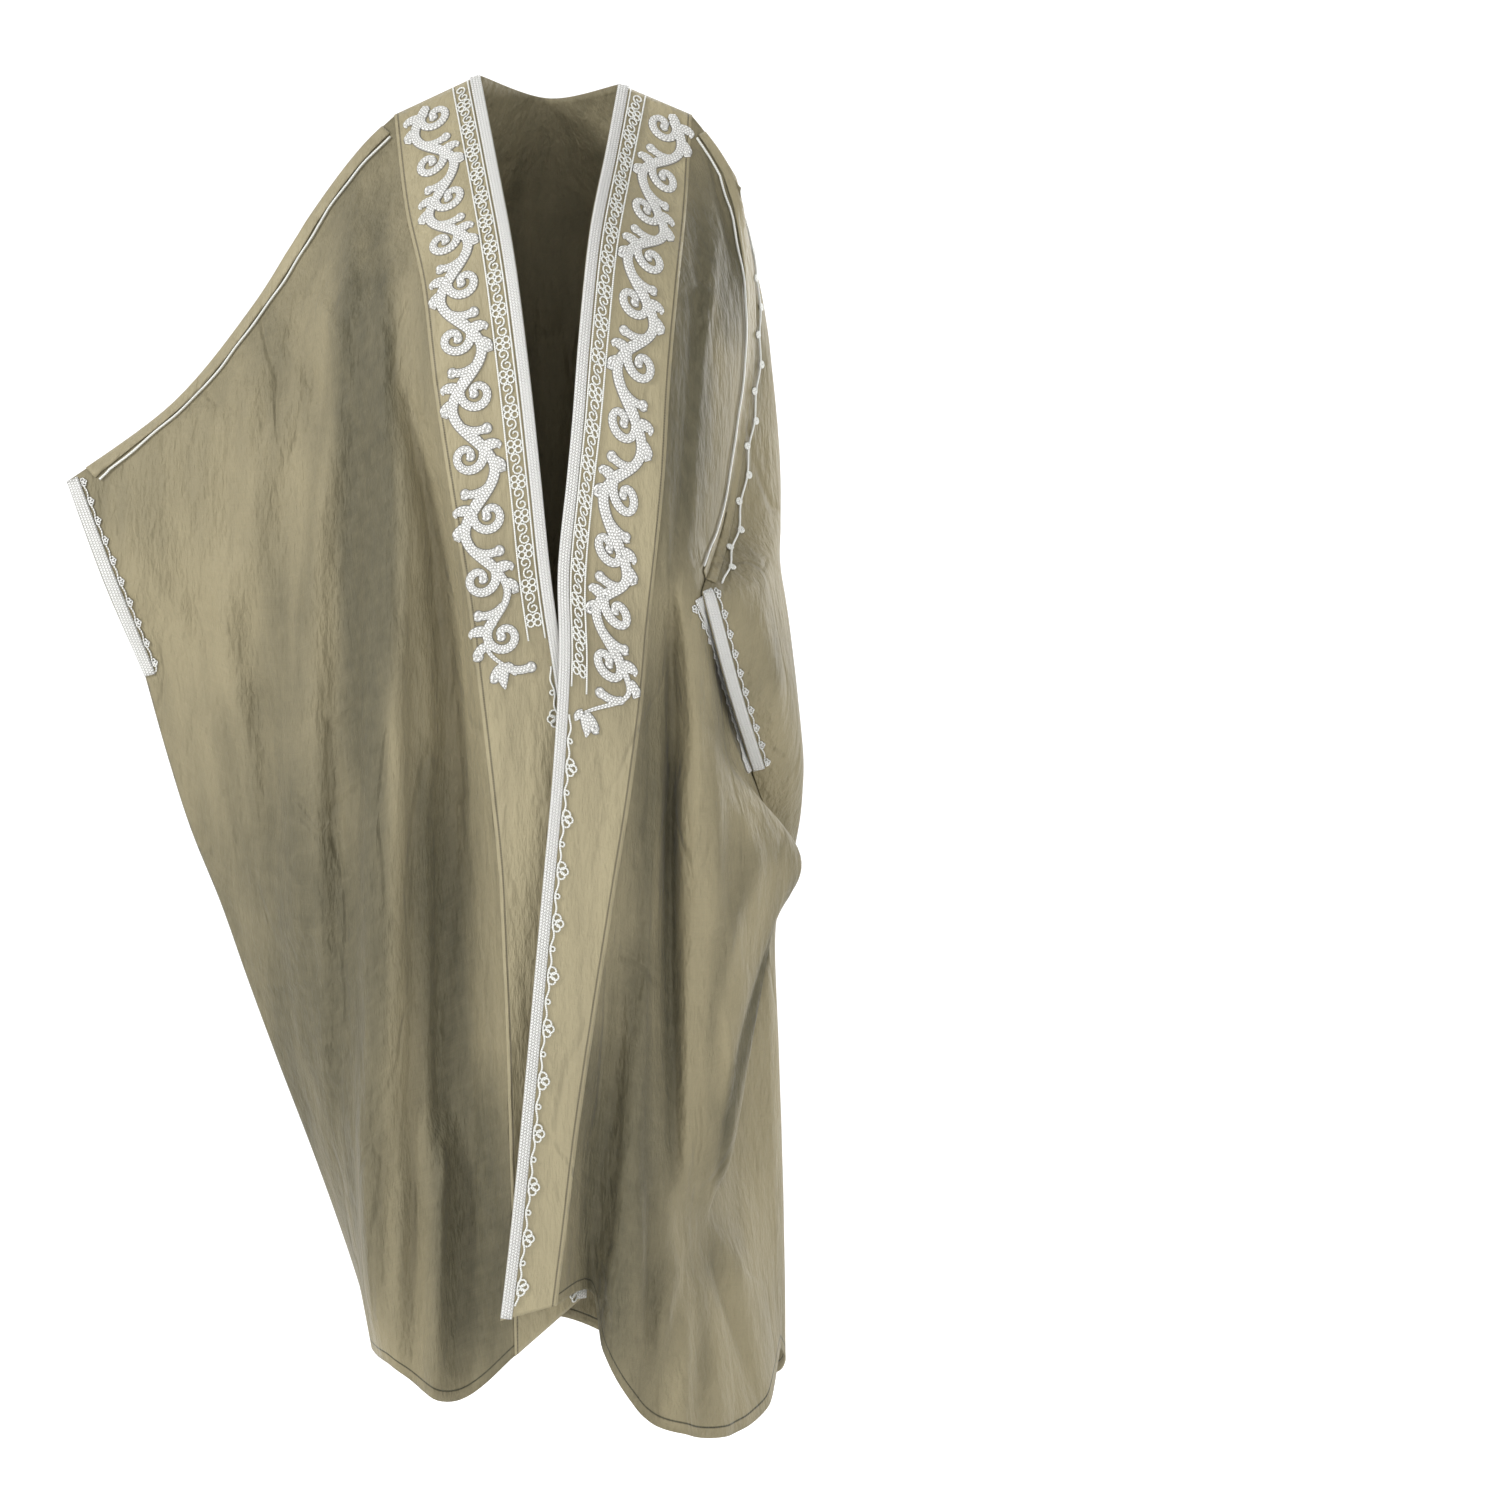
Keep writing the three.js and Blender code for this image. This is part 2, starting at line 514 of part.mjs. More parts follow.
const inner = (panel, step) => ([r, c]) => panel.grid[Math.max(r, 1)][
  Math.min(lastOf(panel) - step, Math.max(step, c))];
const leads = {
  right: seamLead(right, seams.right.front, RIGHT_CUFF),
  left: seamLead(left, seams.left.front, LEFT_CUFF),
};
const edges = {
  rightFront: mitre(right, seams.right.front, back, seams.right.rear, inner(right, 1), leads.right),
  rightRear: mitre(back, seams.right.rear, right, seams.right.front, inner(back, 1), leads.right),
  leftFront: mitre(left, seams.left.front, back, seams.left.rear, inner(left, 1), leads.left),
  leftRear: mitre(back, seams.left.rear, left, seams.left.front, inner(back, 1), leads.left),
};

/** Which places of a seam are sewn: not those round the cuff opening. */
const sewn = (place, topRow, endRow) => place[0] <= topRow || place[0] >= endRow;

/** Closes a grid and its inner copy into one solid; order keeps the faces outward. */
function closeWall(outer, innerGrid, flip) {
  const [rows, columns] = [outer.length, outer[0].length];
  const positions = [...outer.flat(), ...innerGrid.flat()].flatMap((p) => [p.x, p.y, p.z]);
  const at = (layer, r, c) => layer * rows * columns + r * columns + c;
  const index = [];
  const quad = (a, b, c, d) => index.push(...(flip ? [a, c, b, a, d, c] : [a, b, c, a, c, d]));
  for (let r = 0; r < rows - 1; r += 1) {
    for (let c = 0; c < columns - 1; c += 1) {
      quad(at(0, r, c), at(0, r + 1, c), at(0, r + 1, c + 1), at(0, r, c + 1));
      quad(at(1, r, c), at(1, r, c + 1), at(1, r + 1, c + 1), at(1, r + 1, c));
    }
  }
  for (let r = 0; r < rows - 1; r += 1) {
    quad(at(0, r, 0), at(1, r, 0), at(1, r + 1, 0), at(0, r + 1, 0));
    const c = columns - 1;
    quad(at(0, r, c), at(0, r + 1, c), at(1, r + 1, c), at(1, r, c));
  }
  for (let c = 0; c < columns - 1; c += 1) {
    quad(at(0, 0, c), at(0, 0, c + 1), at(1, 0, c + 1), at(1, 0, c));
    const r = rows - 1;
    quad(at(0, r, c), at(1, r, c), at(1, r, c + 1), at(0, r, c + 1));
  }
  const geometry = new THREE.BufferGeometry();
  geometry.setAttribute("position", new THREE.Float32BufferAttribute(positions, 3));
  geometry.setIndex(index);
  return geometry;
}

/** A cloth panel's solid, its sewn edges mitred. */
function clothSolid(panel, mitres) {
  const outer = panel.grid.map((line) => line.map((p) => p.clone()));
  const inside = panel.grid.map((line, r) => line.map((p, c) => (
    p.clone().addScaledVector(panel.normals[r][c], -CLOTH))));
  for (const { edge, topRow, endRow } of mitres) {
    for (const { place, aside, inward } of edge) {
      const [r, c] = place;
      outer[r][c].addScaledVector(aside, SEAM_GAP / 2);
      const joined = sewn(place, topRow, endRow);
      const depth = joined ? inward : panel.normals[r][c].clone().multiplyScalar(-CLOTH);
      inside[r][c].copy(outer[r][c]).add(depth);
    }
  }
  return closeWall(outer, inside, panel.turn > 0);
}

/** A point of a panel at a fractional place, on the facet of the cloth, lifted off it. */
function laidPoint(panel, r, c, lift) {
  const [rows, columns] = [panel.grid.length - 1, panel.grid[0].length - 1];
  const i = Math.min(rows - 1, Math.max(0, Math.floor(r)));
  const j = Math.min(columns - 1, Math.max(0, Math.floor(c)));
  const [f, g] = [r - i, c - j];
  const weights = f > g
    ? [[0, 0, 1 - f], [1, 0, f - g], [1, 1, g]]
    : [[0, 0, 1 - g], [0, 1, g - f], [1, 1, f]];
  const point = new THREE.Vector3();
  const normal = new THREE.Vector3();
  for (const [di, dj, w] of weights) {
    point.addScaledVector(panel.grid[i + di][j + dj], w);
    normal.addScaledVector(panel.normals[i + di][j + dj], w);
  }
  return point.addScaledVector(normal.normalize(), lift);
}

/** A flat trim laid on a panel: the columns across it for every row, and its two lifts. */
function laidStrip(panel, rowPlaces, columnsAt, low, high) {
  const layer = (lift) => rowPlaces.map((r) => columnsAt(r).map((c) => laidPoint(panel, r, c, lift)));
  return closeWall(layer(high), layer(low), panel.turn > 0);
}

const allRows = (panel) => panel.grid.map((_, r) => r);

/** The column place that lies a given width from the front edge in one row. */
function acrossPlace(panel, width, r) {
  const i = Math.min(panel.grid.length - 2, Math.floor(r));
  const size = (row) => panel.grid[row][0].distanceTo(panel.grid[row][BAND_STEPS]);
  return (width / lerp(size(i), size(i + 1), r - i)) * BAND_STEPS;
}

const facingLow = LAID_GAP;
const facingHigh = LAID_GAP + FACING;
const trimLow = facingHigh + TRIM_GAP;
const bandColumns = Array.from({ length: BAND_STEPS + 1 }, (_, c) => c);

const facingSolid = (panel) => laidStrip(
  panel, allRows(panel), () => bandColumns, facingLow, facingHigh,
);
const ribbonSolid = (panel, rows, from, to, thick) => laidStrip(
  panel, rows, (r) => [acrossPlace(panel, from, r), acrossPlace(panel, to, r)],
  trimLow, trimLow + thick,
);

/** Row places from the neck down to a length along the front edge. */
function rowsToLength(panel, length) {
  const places = [];
  let run = 0;
  for (let r = 0; r < panel.grid.length - 1 && run < length; r += 1) {
    places.push(r);
    run += panel.grid[r][0].distanceTo(panel.grid[r + 1][0]);
  }
  return [...places, rowAtLength(panel, length)];
}

/** The row place at a length along the front edge. */
function rowAtLength(panel, length) {
  let run = 0;
  for (let r = 0; r < panel.grid.length - 1; r += 1) {
    const step = panel.grid[r][0].distanceTo(panel.grid[r + 1][0]);
    if (run + step >= length) {
      return r + (length - run) / step;
    }
    run += step;
  }
  return panel.grid.length - 1;
}

/** A stroke of varying width along a line of [across, along], as a prism one unit high. */
function strokeSolid(line, widthAt) {
  const last = line.length - 1;
  const vertices = [];
  for (const level of [0, 1]) {
    line.forEach(([x, y], i) => {
      const [px, py] = line[Math.max(0, i - 1)];
      const [nx, ny] = line[Math.min(last, i + 1)];
      const half = widthAt(i / last) / 2 / Math.hypot(nx - px, ny - py);
      const [ox, oy] = [-(ny - py) * half, (nx - px) * half];
      vertices.push(x + ox, y + oy, level, x - ox, y - oy, level);
    });
  }
  const n = line.length * 2;
  const faces = [];
  const quad = (a, b, c, d) => faces.push(a, b, c, a, c, d);
  for (let i = 0; i < last; i += 1) {
    const k = i * 2;
    quad(k, k + 2, k + 3, k + 1);
    quad(n + k, n + k + 1, n + k + 3, n + k + 2);
    quad(k, n + k, n + k + 2, k + 2);
    quad(k + 1, k + 3, n + k + 3, n + k + 1);
  }
  quad(0, 1, n + 1, n);
  quad(n - 2, n + n - 2, n + n - 1, n - 1);
  return new wasm.Manifold(new wasm.Mesh({
    numProp: 3,
    vertProperties: new Float32Array(vertices),
    triVerts: new Uint32Array(faces),
  }));
}

const radians = (degrees) => (degrees * Math.PI) / 180;

/** The stem's place across the band at a length along it. */
const stemAcross = (length) => SCROLL_CENTRE
  + STEM_SWING * Math.sin((TWO_PI * (length - SCROLL_START)) / WAVE_PITCH);

/** The waving stem. */
function stemLine(length) {
  const steps = Math.round(length / STEM_STEP);
  return Array.from({ length: steps + 1 }, (_, i) => {
    const at = SCROLL_START + (length * i) / steps;
    return [stemAcross(at), at];
  });
}

/** A spiral that leaves the stem at a length along it; hand is +1, or -1 where it is mirrored. */
function spiralLine(start, hand) {
  const heading = radians(SPIRAL.heading);
  const centre = [
    stemAcross(start) + hand * SPIRAL.radius * Math.cos(heading),
    start + SPIRAL.radius * Math.sin(heading),
  ];
  return Array.from({ length: SPIRAL.steps + 1 }, (_, i) => {
    const t = i / SPIRAL.steps;
    const angle = heading + Math.PI + TWO_PI * SPIRAL.turns * t;
    const radius = lerp(SPIRAL.radius, SPIRAL.boss, t ** SPIRAL.ease);
    return [centre[0] + hand * radius * Math.cos(angle), centre[1] + radius * Math.sin(angle)];
  });
}

/** A short bent leaf that leaves the stem at a length along it. */
function sprigLine(sprig, start, hand) {
  const line = [];
  let [x, y] = [stemAcross(start), start];
  for (let i = 0; i <= sprig.steps; i += 1) {
    line.push([x, y]);
    const angle = radians(sprig.angle + (sprig.bend * i) / sprig.steps);
    x += (hand * Math.cos(angle) * sprig.length) / sprig.steps;
    y += (Math.sin(angle) * sprig.length) / sprig.steps;
  }
  return line;
}

/** The scrollwork of one front: strokes joined in the flat, then laid on the facing. */
function scrollSolid(panel, waves) {
  const length = waves * WAVE_PITCH;
  const end = SCROLL_START + length;
  let solid = strokeSolid(stemLine(length), (t) => STEM_WIDTH * Math.min(1, 3.4 * (1 - t) + 0.35));
  const coil = (t) => SPIRAL.width * (t < 0.95 ? 1 - 0.25 * t : 1.25);
  for (let half = 0; half < waves * 2; half += 1) {
    const base = SCROLL_START + half * 0.5 * WAVE_PITCH;
    const hand = half % 2 === 0 ? 1 : -1;
    const root = base + SPIRAL.along * WAVE_PITCH;
    if (root > 0 && root + SPIRAL.radius < end) {
      solid = solid.add(strokeSolid(spiralLine(root, hand), coil));
    }
    for (const sprig of SPRIGS) {
      const start = base + sprig.along * WAVE_PITCH;
      const leaf = (t) => lerp(sprig.root, sprig.tip, t);
      if (start < end) {
        solid = solid.add(strokeSolid(sprigLine(sprig, start, hand), leaf));
      }
    }
  }
  const mesh = solid.getMesh();
  const positions = [];
  for (let i = 0; i < mesh.vertProperties.length; i += mesh.numProp) {
    const [across, at, level] = mesh.vertProperties.subarray(i, i + 3);
    const r = rowAtLength(panel, at);
    const lift = facingHigh + APPLIQUE_GAP + level * APPLIQUE;
    const within = acrossPlace(panel, Math.max(SCROLL_INNER, across), r);
    const p = laidPoint(panel, r, Math.min(SCROLL_LIMIT, within), lift);
    positions.push(p.x, p.y, p.z);
  }
  const geometry = new THREE.BufferGeometry();
  geometry.setAttribute("position", new THREE.Float32BufferAttribute(positions, 3));
  const faces = Array.from(mesh.triVerts);
  geometry.setIndex(panel.turn < 0 ? faces.reverse() : faces);
  return geometry;
}

/** The place at a distance in from a seam, square to it, in short steps over the cloth. */
function insetPlace(panel, path, i, distance) {
  const [rows, columns] = [panel.grid.length, panel.grid[0].length];
  const start = pointAt(panel, path[i]);
  const tangent = pointAt(panel, path[Math.min(path.length - 1, i + 1)]).clone()
    .sub(pointAt(panel, path[Math.max(0, i - 1)])).normalize();
  const [startRow, startColumn] = path[i];
  const heart = panel.grid[startRow === 0 ? 3 : startRow][
    Math.min(columns - 4, Math.max(3, startColumn))].clone().sub(start);
  let [r, c] = path[i];
  for (let n = 0; n < INSET_STEPS; n += 1) {
    const [i0, j0] = [Math.min(rows - 2, Math.floor(r)), Math.min(columns - 2, Math.floor(c))];
    const down = panel.grid[i0 + 1][j0].clone().sub(panel.grid[i0][j0]);
    const over = panel.grid[i0][j0 + 1].clone().sub(panel.grid[i0][j0]);
    const [dr, dc] = [over.dot(tangent), -down.dot(tangent)];
    const move = down.multiplyScalar(dr).addScaledVector(over, dc);
    const scale = (Math.sign(move.dot(heart)) * distance) / INSET_STEPS / move.length();
    r = Math.min(rows - 1, Math.max(0, r + dr * scale));
    c = Math.min(columns - 1, Math.max(0, c + dc * scale));
  }
  return [r, c];
}

/** Matching fractional indices of a front and a rear seam path, from a column to the cuff. */
function seamStops(front, frontPath, rearPath, fromColumn, cuffRow) {
  const [frontRuns, rearRuns] = [runs(front, frontPath), runs(back, rearPath)];
  const frontCorner = frontPath.findIndex(([r, c]) => r === 0 && c === lastOf(front));
  const rearCorner = rearPath.length - (frontPath.length - frontCorner);
  const stops = [];
  for (let i = fromColumn; i <= frontCorner; i += 1) {
    stops.push(frontRuns[i] / frontRuns[frontCorner]);
  }
  for (let i = 1; i < rearCorner; i += 1) {
    const share = rearRuns[i] / rearRuns[rearCorner];
    if (share > stops[0] && stops.every((s) => Math.abs(s - share) > STOP_MERGE)) {
      stops.push(share);
    }
  }
  const top = stops.sort((a, b) => a - b).map((share) => [
    indexOf(frontRuns, share * frontRuns[frontCorner]),
    indexOf(rearRuns, share * rearRuns[rearCorner]),
  ]);
  const lastStep = frontRuns[frontCorner + cuffRow] - frontRuns[frontCorner + cuffRow - 1];
  const end = cuffRow - (CUFF_BRAID_WIDTH + STRIP_END) / lastStep;
  const side = [];
  for (let r = 0.5; r < end; r += r < cuffRow - 1 ? 0.5 : 0.25) {
    side.push([frontCorner + r, rearCorner + r]);
  }
  return [...top, ...side, [frontCorner + end, rearCorner + end]];
}

/** The strip over a shoulder and down a sleeve: four lines across it, two on each panel. */
function sleeveStrip(front, seam, mitres, stops, reach) {
  const sides = [
    { panel: front, path: seam.front, edge: mitres[0], reach: reach.front },
    { panel: back, path: seam.rear, edge: mitres[1], reach: reach.rear },
  ];
  const layer = (lift) => stops.map((stop) => {
    const [frontPair, rearPair] = sides.map(({ panel, path, edge, reach: width }, k) => {
      const insets = path.map((_, i) => insetPlace(panel, path, i, width));
      const [r, c] = between(insets, stop[k]);
      const ridge = between(edge.map((e) => e.point), stop[k]);
      const normal = between(edge.map((e) => e.normal), stop[k]).normalize();
      const bisector = between(edge.map((e) => e.bisector), stop[k]).normalize();
      const sharp = 1 - normal.dot(bisector);
      ridge.addScaledVector(normal, lift).addScaledVector(bisector, sharp * lift);
      ridge.addScaledVector(between(edge.map((e) => e.aside), stop[k]), RIDGE_HALF);
      return [laidPoint(panel, r, c, lift), ridge];
    });
    return [frontPair[0], frontPair[1], rearPair[1], rearPair[0]];
  });
  return closeWall(layer(STRIP_GAP + STRIP), layer(STRIP_GAP), front.turn > 0);
}

/** A cord of varying thickness through [point, normal, radius] stops. */
function cordSolid(line) {
  const positions = [];
  line.forEach(({ point, normal, radius }, i) => {
    const tangent = line[Math.min(line.length - 1, i + 1)].point.clone()
      .sub(line[Math.max(0, i - 1)].point).normalize();
    const side = tangent.clone().cross(normal).normalize();
    const up = side.clone().cross(tangent);
    const centre = point.clone().addScaledVector(normal, CORD_RADIUS * Math.SQRT1_2);
    for (let k = 0; k < CORD_SIDES; k += 1) {
      const angle = (TWO_PI * (k + 0.5)) / CORD_SIDES;
      const rise = Math.min(radius, CORD_RADIUS) * Math.sin(angle)
        + Math.max(0, radius - CORD_RADIUS) * Math.max(0, Math.sin(angle)) * 0.7;
      const p = centre.clone().addScaledVector(side, radius * Math.cos(angle))
        .addScaledVector(up, rise);
      positions.push(p.x, p.y, p.z);
    }
  });
  const index = [];
  const n = line.length;
  for (let i = 0; i < n - 1; i += 1) {
    for (let k = 0; k < CORD_SIDES; k += 1) {
      const [a, b] = [i * CORD_SIDES + k, i * CORD_SIDES + ((k + 1) % CORD_SIDES)];
      index.push(a, b + CORD_SIDES, b, a, a + CORD_SIDES, b + CORD_SIDES);
    }
  }
  for (let k = 1; k < CORD_SIDES - 1; k += 1) {
    const end = (n - 1) * CORD_SIDES;
    index.push(0, k, k + 1, end, end + k + 1, end + k);
  }
  const geometry = new THREE.BufferGeometry();
  geometry.setAttribute("position", new THREE.Float32BufferAttribute(positions, 3));
  geometry.setIndex(index);
  return geometry;
}

/** A cord along a seam at a distance to one side, with or without knots. */
function seamCord(panel, path, stops, distance, knotted) {
  const insets = path.map((_, i) => insetPlace(panel, path, i, distance));
  const lift = STRIP_GAP;
  const points = stops.map((stop) => laidPoint(panel, ...between(insets, stop), lift));
  const bases = stops.map((stop) => laidPoint(panel, ...between(insets, stop), lift + 1));
  const lengths = points.reduce((list, p, i) => (
    i === 0 ? [0] : [...list, list[i - 1] + p.distanceTo(points[i - 1])]), []);
  const total = lengths[lengths.length - 1];
  const marks = lengths.map((at) => ({ at, radius: CORD_RADIUS }));
  const kept = [];
  if (knotted) {
    for (let at = KNOT_PITCH / 2; at < total - KNOT_HALF * 2; at += KNOT_PITCH) {
      kept.push({ at: at - KNOT_HALF, radius: CORD_RADIUS }, { at, radius: KNOT_RADIUS },
        { at: at + KNOT_HALF, radius: CORD_RADIUS });
    }
  }
  const clear = (mark) => kept.every((k) => Math.abs(k.at - mark.at) > KNOT_HALF);
  const ends = [marks[0], marks[marks.length - 1]];
  const all = [...kept, ...marks.filter((m) => ends.includes(m) || clear(m))];
  return cordSolid(all.sort((a, b) => a.at - b.at).map(({ at, radius }) => {
    const place = indexOf(lengths, Math.max(at, 1e-6));
    const point = between(points, place);
    const normal = between(bases, place).sub(point).normalize();
    return { point, normal, radius };
  }));
}

/** Half of a cuff's braid: on one panel, between the cuff's top and its end. */
function cuffBraid(panel, sideColumn, cuff, end) {
  const towards = sideColumn === 0 ? 1 : -1;
  const share = (r) => CUFF_BRAID_WIDTH / pointAt(panel, [Math.round(r), sideColumn + towards])
    .distanceTo(pointAt(panel, [Math.round(r), sideColumn]));
  const [start, stop] = [cuff.topRow + end, cuff.endRow - end];
  const rows = [start];
  for (let r = cuff.topRow; r < cuff.endRow; r += 1) {
    const crossing = Math.min(0.8, Math.max(0.2, towards > 0 ? share(r) : 1 - share(r)));
    rows.push(...[r, r + crossing].filter((at) => at > start + ROW_MERGE && at < stop - ROW_MERGE));
  }
  rows.push(stop);
  const layer = (lift) => rows.map((r) => [
    laidPoint(panel, r, sideColumn, lift),
    laidPoint(panel, r, sideColumn + towards * share(Math.floor(r)), lift),
  ]);
  return closeWall(layer(CUFF_GAP + BRAID), layer(CUFF_GAP), (panel.turn > 0) === (towards > 0));
}

/** The braid round the back of the neck. */
function neckBraid() {
  const columns = [];
  for (let c = BACK_NECK_RIGHT; c <= BACK_NECK_LEFT; c += 1) {
    columns.push(c);
  }
  columns[0] += NECK_BRAID_END;
  columns[columns.length - 1] -= NECK_BRAID_END;
  const layer = (lift) => [0, 1].map((row) => columns.map((c) => {
    const run = pointAt(back, [1, Math.round(c)]).distanceTo(pointAt(back, [0, Math.round(c)]));
    return laidPoint(back, (row * NECK_BRAID_WIDTH) / run, c, lift);
  }));
  return closeWall(layer(NECK_GAP + BRAID), layer(NECK_GAP), back.turn > 0);
}

const group = new THREE.Group();

const CLOTH_LOOK = { color: 0x9c8f6c, roughness: 0.6, metalness: 0 };
const FACING_LOOK = { color: 0xb0a37a, roughness: 0.45, metalness: 0 };
const THREAD_LOOK = { color: 0xdedfe2, roughness: 0.5, metalness: 0.1 };

/** Adds a solid to the group as a named mesh. */
function addPiece(name, geometry, look) {
  const mesh = new THREE.Mesh(geometry, new THREE.MeshStandardMaterial(look));
  mesh.name = name;
  group.add(mesh);
}

const step = (row) => row * ROW_STEPS;
const rightCuff = { topRow: step(RIGHT_CUFF[0]), endRow: step(RIGHT_CUFF[1]) };
const leftCuff = { topRow: step(LEFT_CUFF[0]), endRow: step(LEFT_CUFF[1]) };

addPiece("front_right", clothSolid(right, [{ edge: edges.rightFront, ...rightCuff }]), CLOTH_LOOK);
addPiece("front_left", clothSolid(left, [{ edge: edges.leftFront, ...leftCuff }]), CLOTH_LOOK);
addPiece("back", clothSolid(back, [
  { edge: edges.rightRear, ...rightCuff },
  { edge: edges.leftRear, ...leftCuff },
]), CLOTH_LOOK);
addPiece("front_band_right", facingSolid(right), FACING_LOOK);
addPiece("front_band_left", facingSolid(left), FACING_LOOK);
addPiece("edge_braid_right", ribbonSolid(right, allRows(right), 0, BRAID_WIDTH, BRAID), THREAD_LOOK);
addPiece("edge_braid_left", ribbonSolid(left, allRows(left), 0, BRAID_WIDTH, BRAID), THREAD_LOOK);
const laceRows = (panel, waves) => rowsToLength(panel, SCROLL_START + waves * WAVE_PITCH - 20);
addPiece("lace_band_right", ribbonSolid(
  right, laceRows(right, WAVES_RIGHT), LACE_INNER, LACE_OUTER, LACE,
), THREAD_LOOK);
addPiece("lace_band_left", ribbonSolid(
  left, laceRows(left, WAVES_LEFT), LACE_INNER, LACE_OUTER, LACE,
), THREAD_LOOK);
addPiece("scroll_right", scrollSolid(right, WAVES_RIGHT), THREAD_LOOK);
addPiece("scroll_left", scrollSolid(left, WAVES_LEFT), THREAD_LOOK);
addPiece("edge_braid_neck", neckBraid(), THREAD_LOOK);

const sleeves = [
  { name: "right", panel: right, seam: seams.right, mitres: [edges.rightFront, edges.rightRear],
    cuff: rightCuff, reach: REACH_RIGHT, rearColumn: 0, tucked: CUFF_BRAID_END },
  { name: "left", panel: left, seam: seams.left, mitres: [edges.leftFront, edges.leftRear],
    cuff: leftCuff, reach: REACH_LEFT, rearColumn: lastOf(back), tucked: CUFF_BRAID_TUCKED_END },
];
for (const { name, panel, seam, mitres, cuff, reach, rearColumn, tucked } of sleeves) {
  const stops = seamStops(panel, seam.front, seam.rear, BAND_STEPS + 2, cuff.topRow);
  addPiece(`sleeve_strip_${name}`, sleeveStrip(panel, seam, mitres, stops, reach), FACING_LOOK);
  const [frontStops, rearStops] = [0, 1].map((k) => stops.map((stop) => stop[k]));
  addPiece(`sleeve_cord_front_${name}`, seamCord(
    panel, seam.front, frontStops, reach.frontCord, false,
  ), THREAD_LOOK);
  addPiece(`sleeve_cord_rear_${name}`, seamCord(
    back, seam.rear, rearStops, reach.rearCord, true,
  ), THREAD_LOOK);
  addPiece(`cuff_braid_front_${name}`, cuffBraid(panel, lastOf(panel), cuff, tucked), THREAD_LOOK);
  addPiece(`cuff_braid_rear_${name}`, cuffBraid(back, rearColumn, cuff, CUFF_BRAID_END), THREAD_LOOK);
}

export default group;
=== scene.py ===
"""A bisht: an open-fronted cloak of thin cloth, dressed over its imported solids.

The cloth is drawn on the solids' own sections at a finer step and given its creases. The
facings, braids, lace, scrollwork, strips and cords are laid on it. Tables are in millimetres in
the frame's axes: +Z up, -Y to the front, +X to the wearer's left; meshes are in metres.
"""

from __future__ import annotations

import logging
import math
from dataclasses import dataclass, field
from enum import Enum
from typing import Any, Callable, Iterable, Sequence

import bpy
import numpy as np
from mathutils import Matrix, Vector, noise


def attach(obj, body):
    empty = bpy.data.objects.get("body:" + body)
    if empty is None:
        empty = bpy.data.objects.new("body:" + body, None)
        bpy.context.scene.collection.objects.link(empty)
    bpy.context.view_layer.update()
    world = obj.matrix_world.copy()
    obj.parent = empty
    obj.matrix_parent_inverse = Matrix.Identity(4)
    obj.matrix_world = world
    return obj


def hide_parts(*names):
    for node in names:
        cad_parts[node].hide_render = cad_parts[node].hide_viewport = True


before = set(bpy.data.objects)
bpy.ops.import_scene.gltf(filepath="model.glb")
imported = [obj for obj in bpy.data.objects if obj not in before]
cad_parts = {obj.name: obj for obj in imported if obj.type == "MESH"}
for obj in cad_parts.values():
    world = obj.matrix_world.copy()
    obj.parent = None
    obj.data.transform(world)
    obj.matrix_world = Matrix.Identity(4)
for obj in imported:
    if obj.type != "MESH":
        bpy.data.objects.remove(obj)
log = logging.getLogger("bisht")

Row = tuple[tuple[float, ...], ...]

MM = 0.001

# Thicknesses and clearances of the layers, outward from the cloth
CLOTH = 1.2
FACING_LIFT = 0.3
FACING = 1.0
TRIM_LIFT = FACING_LIFT + FACING + 0.1
STRIP_LIFT = 0.9
STRIP = 1.0

# How far short of the cuff the sleeve strips end, in mesh rows, and how much of the seam beside
# the panels' corner is passed over where they are measured
STRIP_END = 0.4
CORNER_CLEAR = 18.0

# How deep the creases are worked, as a share of their tables' heights
CREASE_DEPTH = 1.5

# Fine steps for each step of the solids' mesh
ROW_FINE = 6
COLUMN_FINE = 5
ROW_STEPS = 2
BAND_STEPS = 4

# Sections at the top and at the end of each cuff opening
RIGHT_CUFF = (3, 5)
LEFT_CUFF = (5, 7)

RIGHT_STATIONS = ("edge", "band", "valley", "ridge", "fall", "wing", "side")
RIGHT_STEPS = (4, 3, 3, 3, 3, 3)
LEFT_STATIONS = (
    "edge", "band", "hollow", "lap", "crease", "column", "pouch", "under", "side",
)
LEFT_STEPS = (4, 1, 2, 2, 3, 4, 3, 3)
BACK_STATIONS = (
    "side_right", "wing", "shoulder_right", "neck_right", "spine",
    "neck_left", "shoulder_left", "flank", "arm", "side_left",
)
BACK_STEPS = (3,) * 9

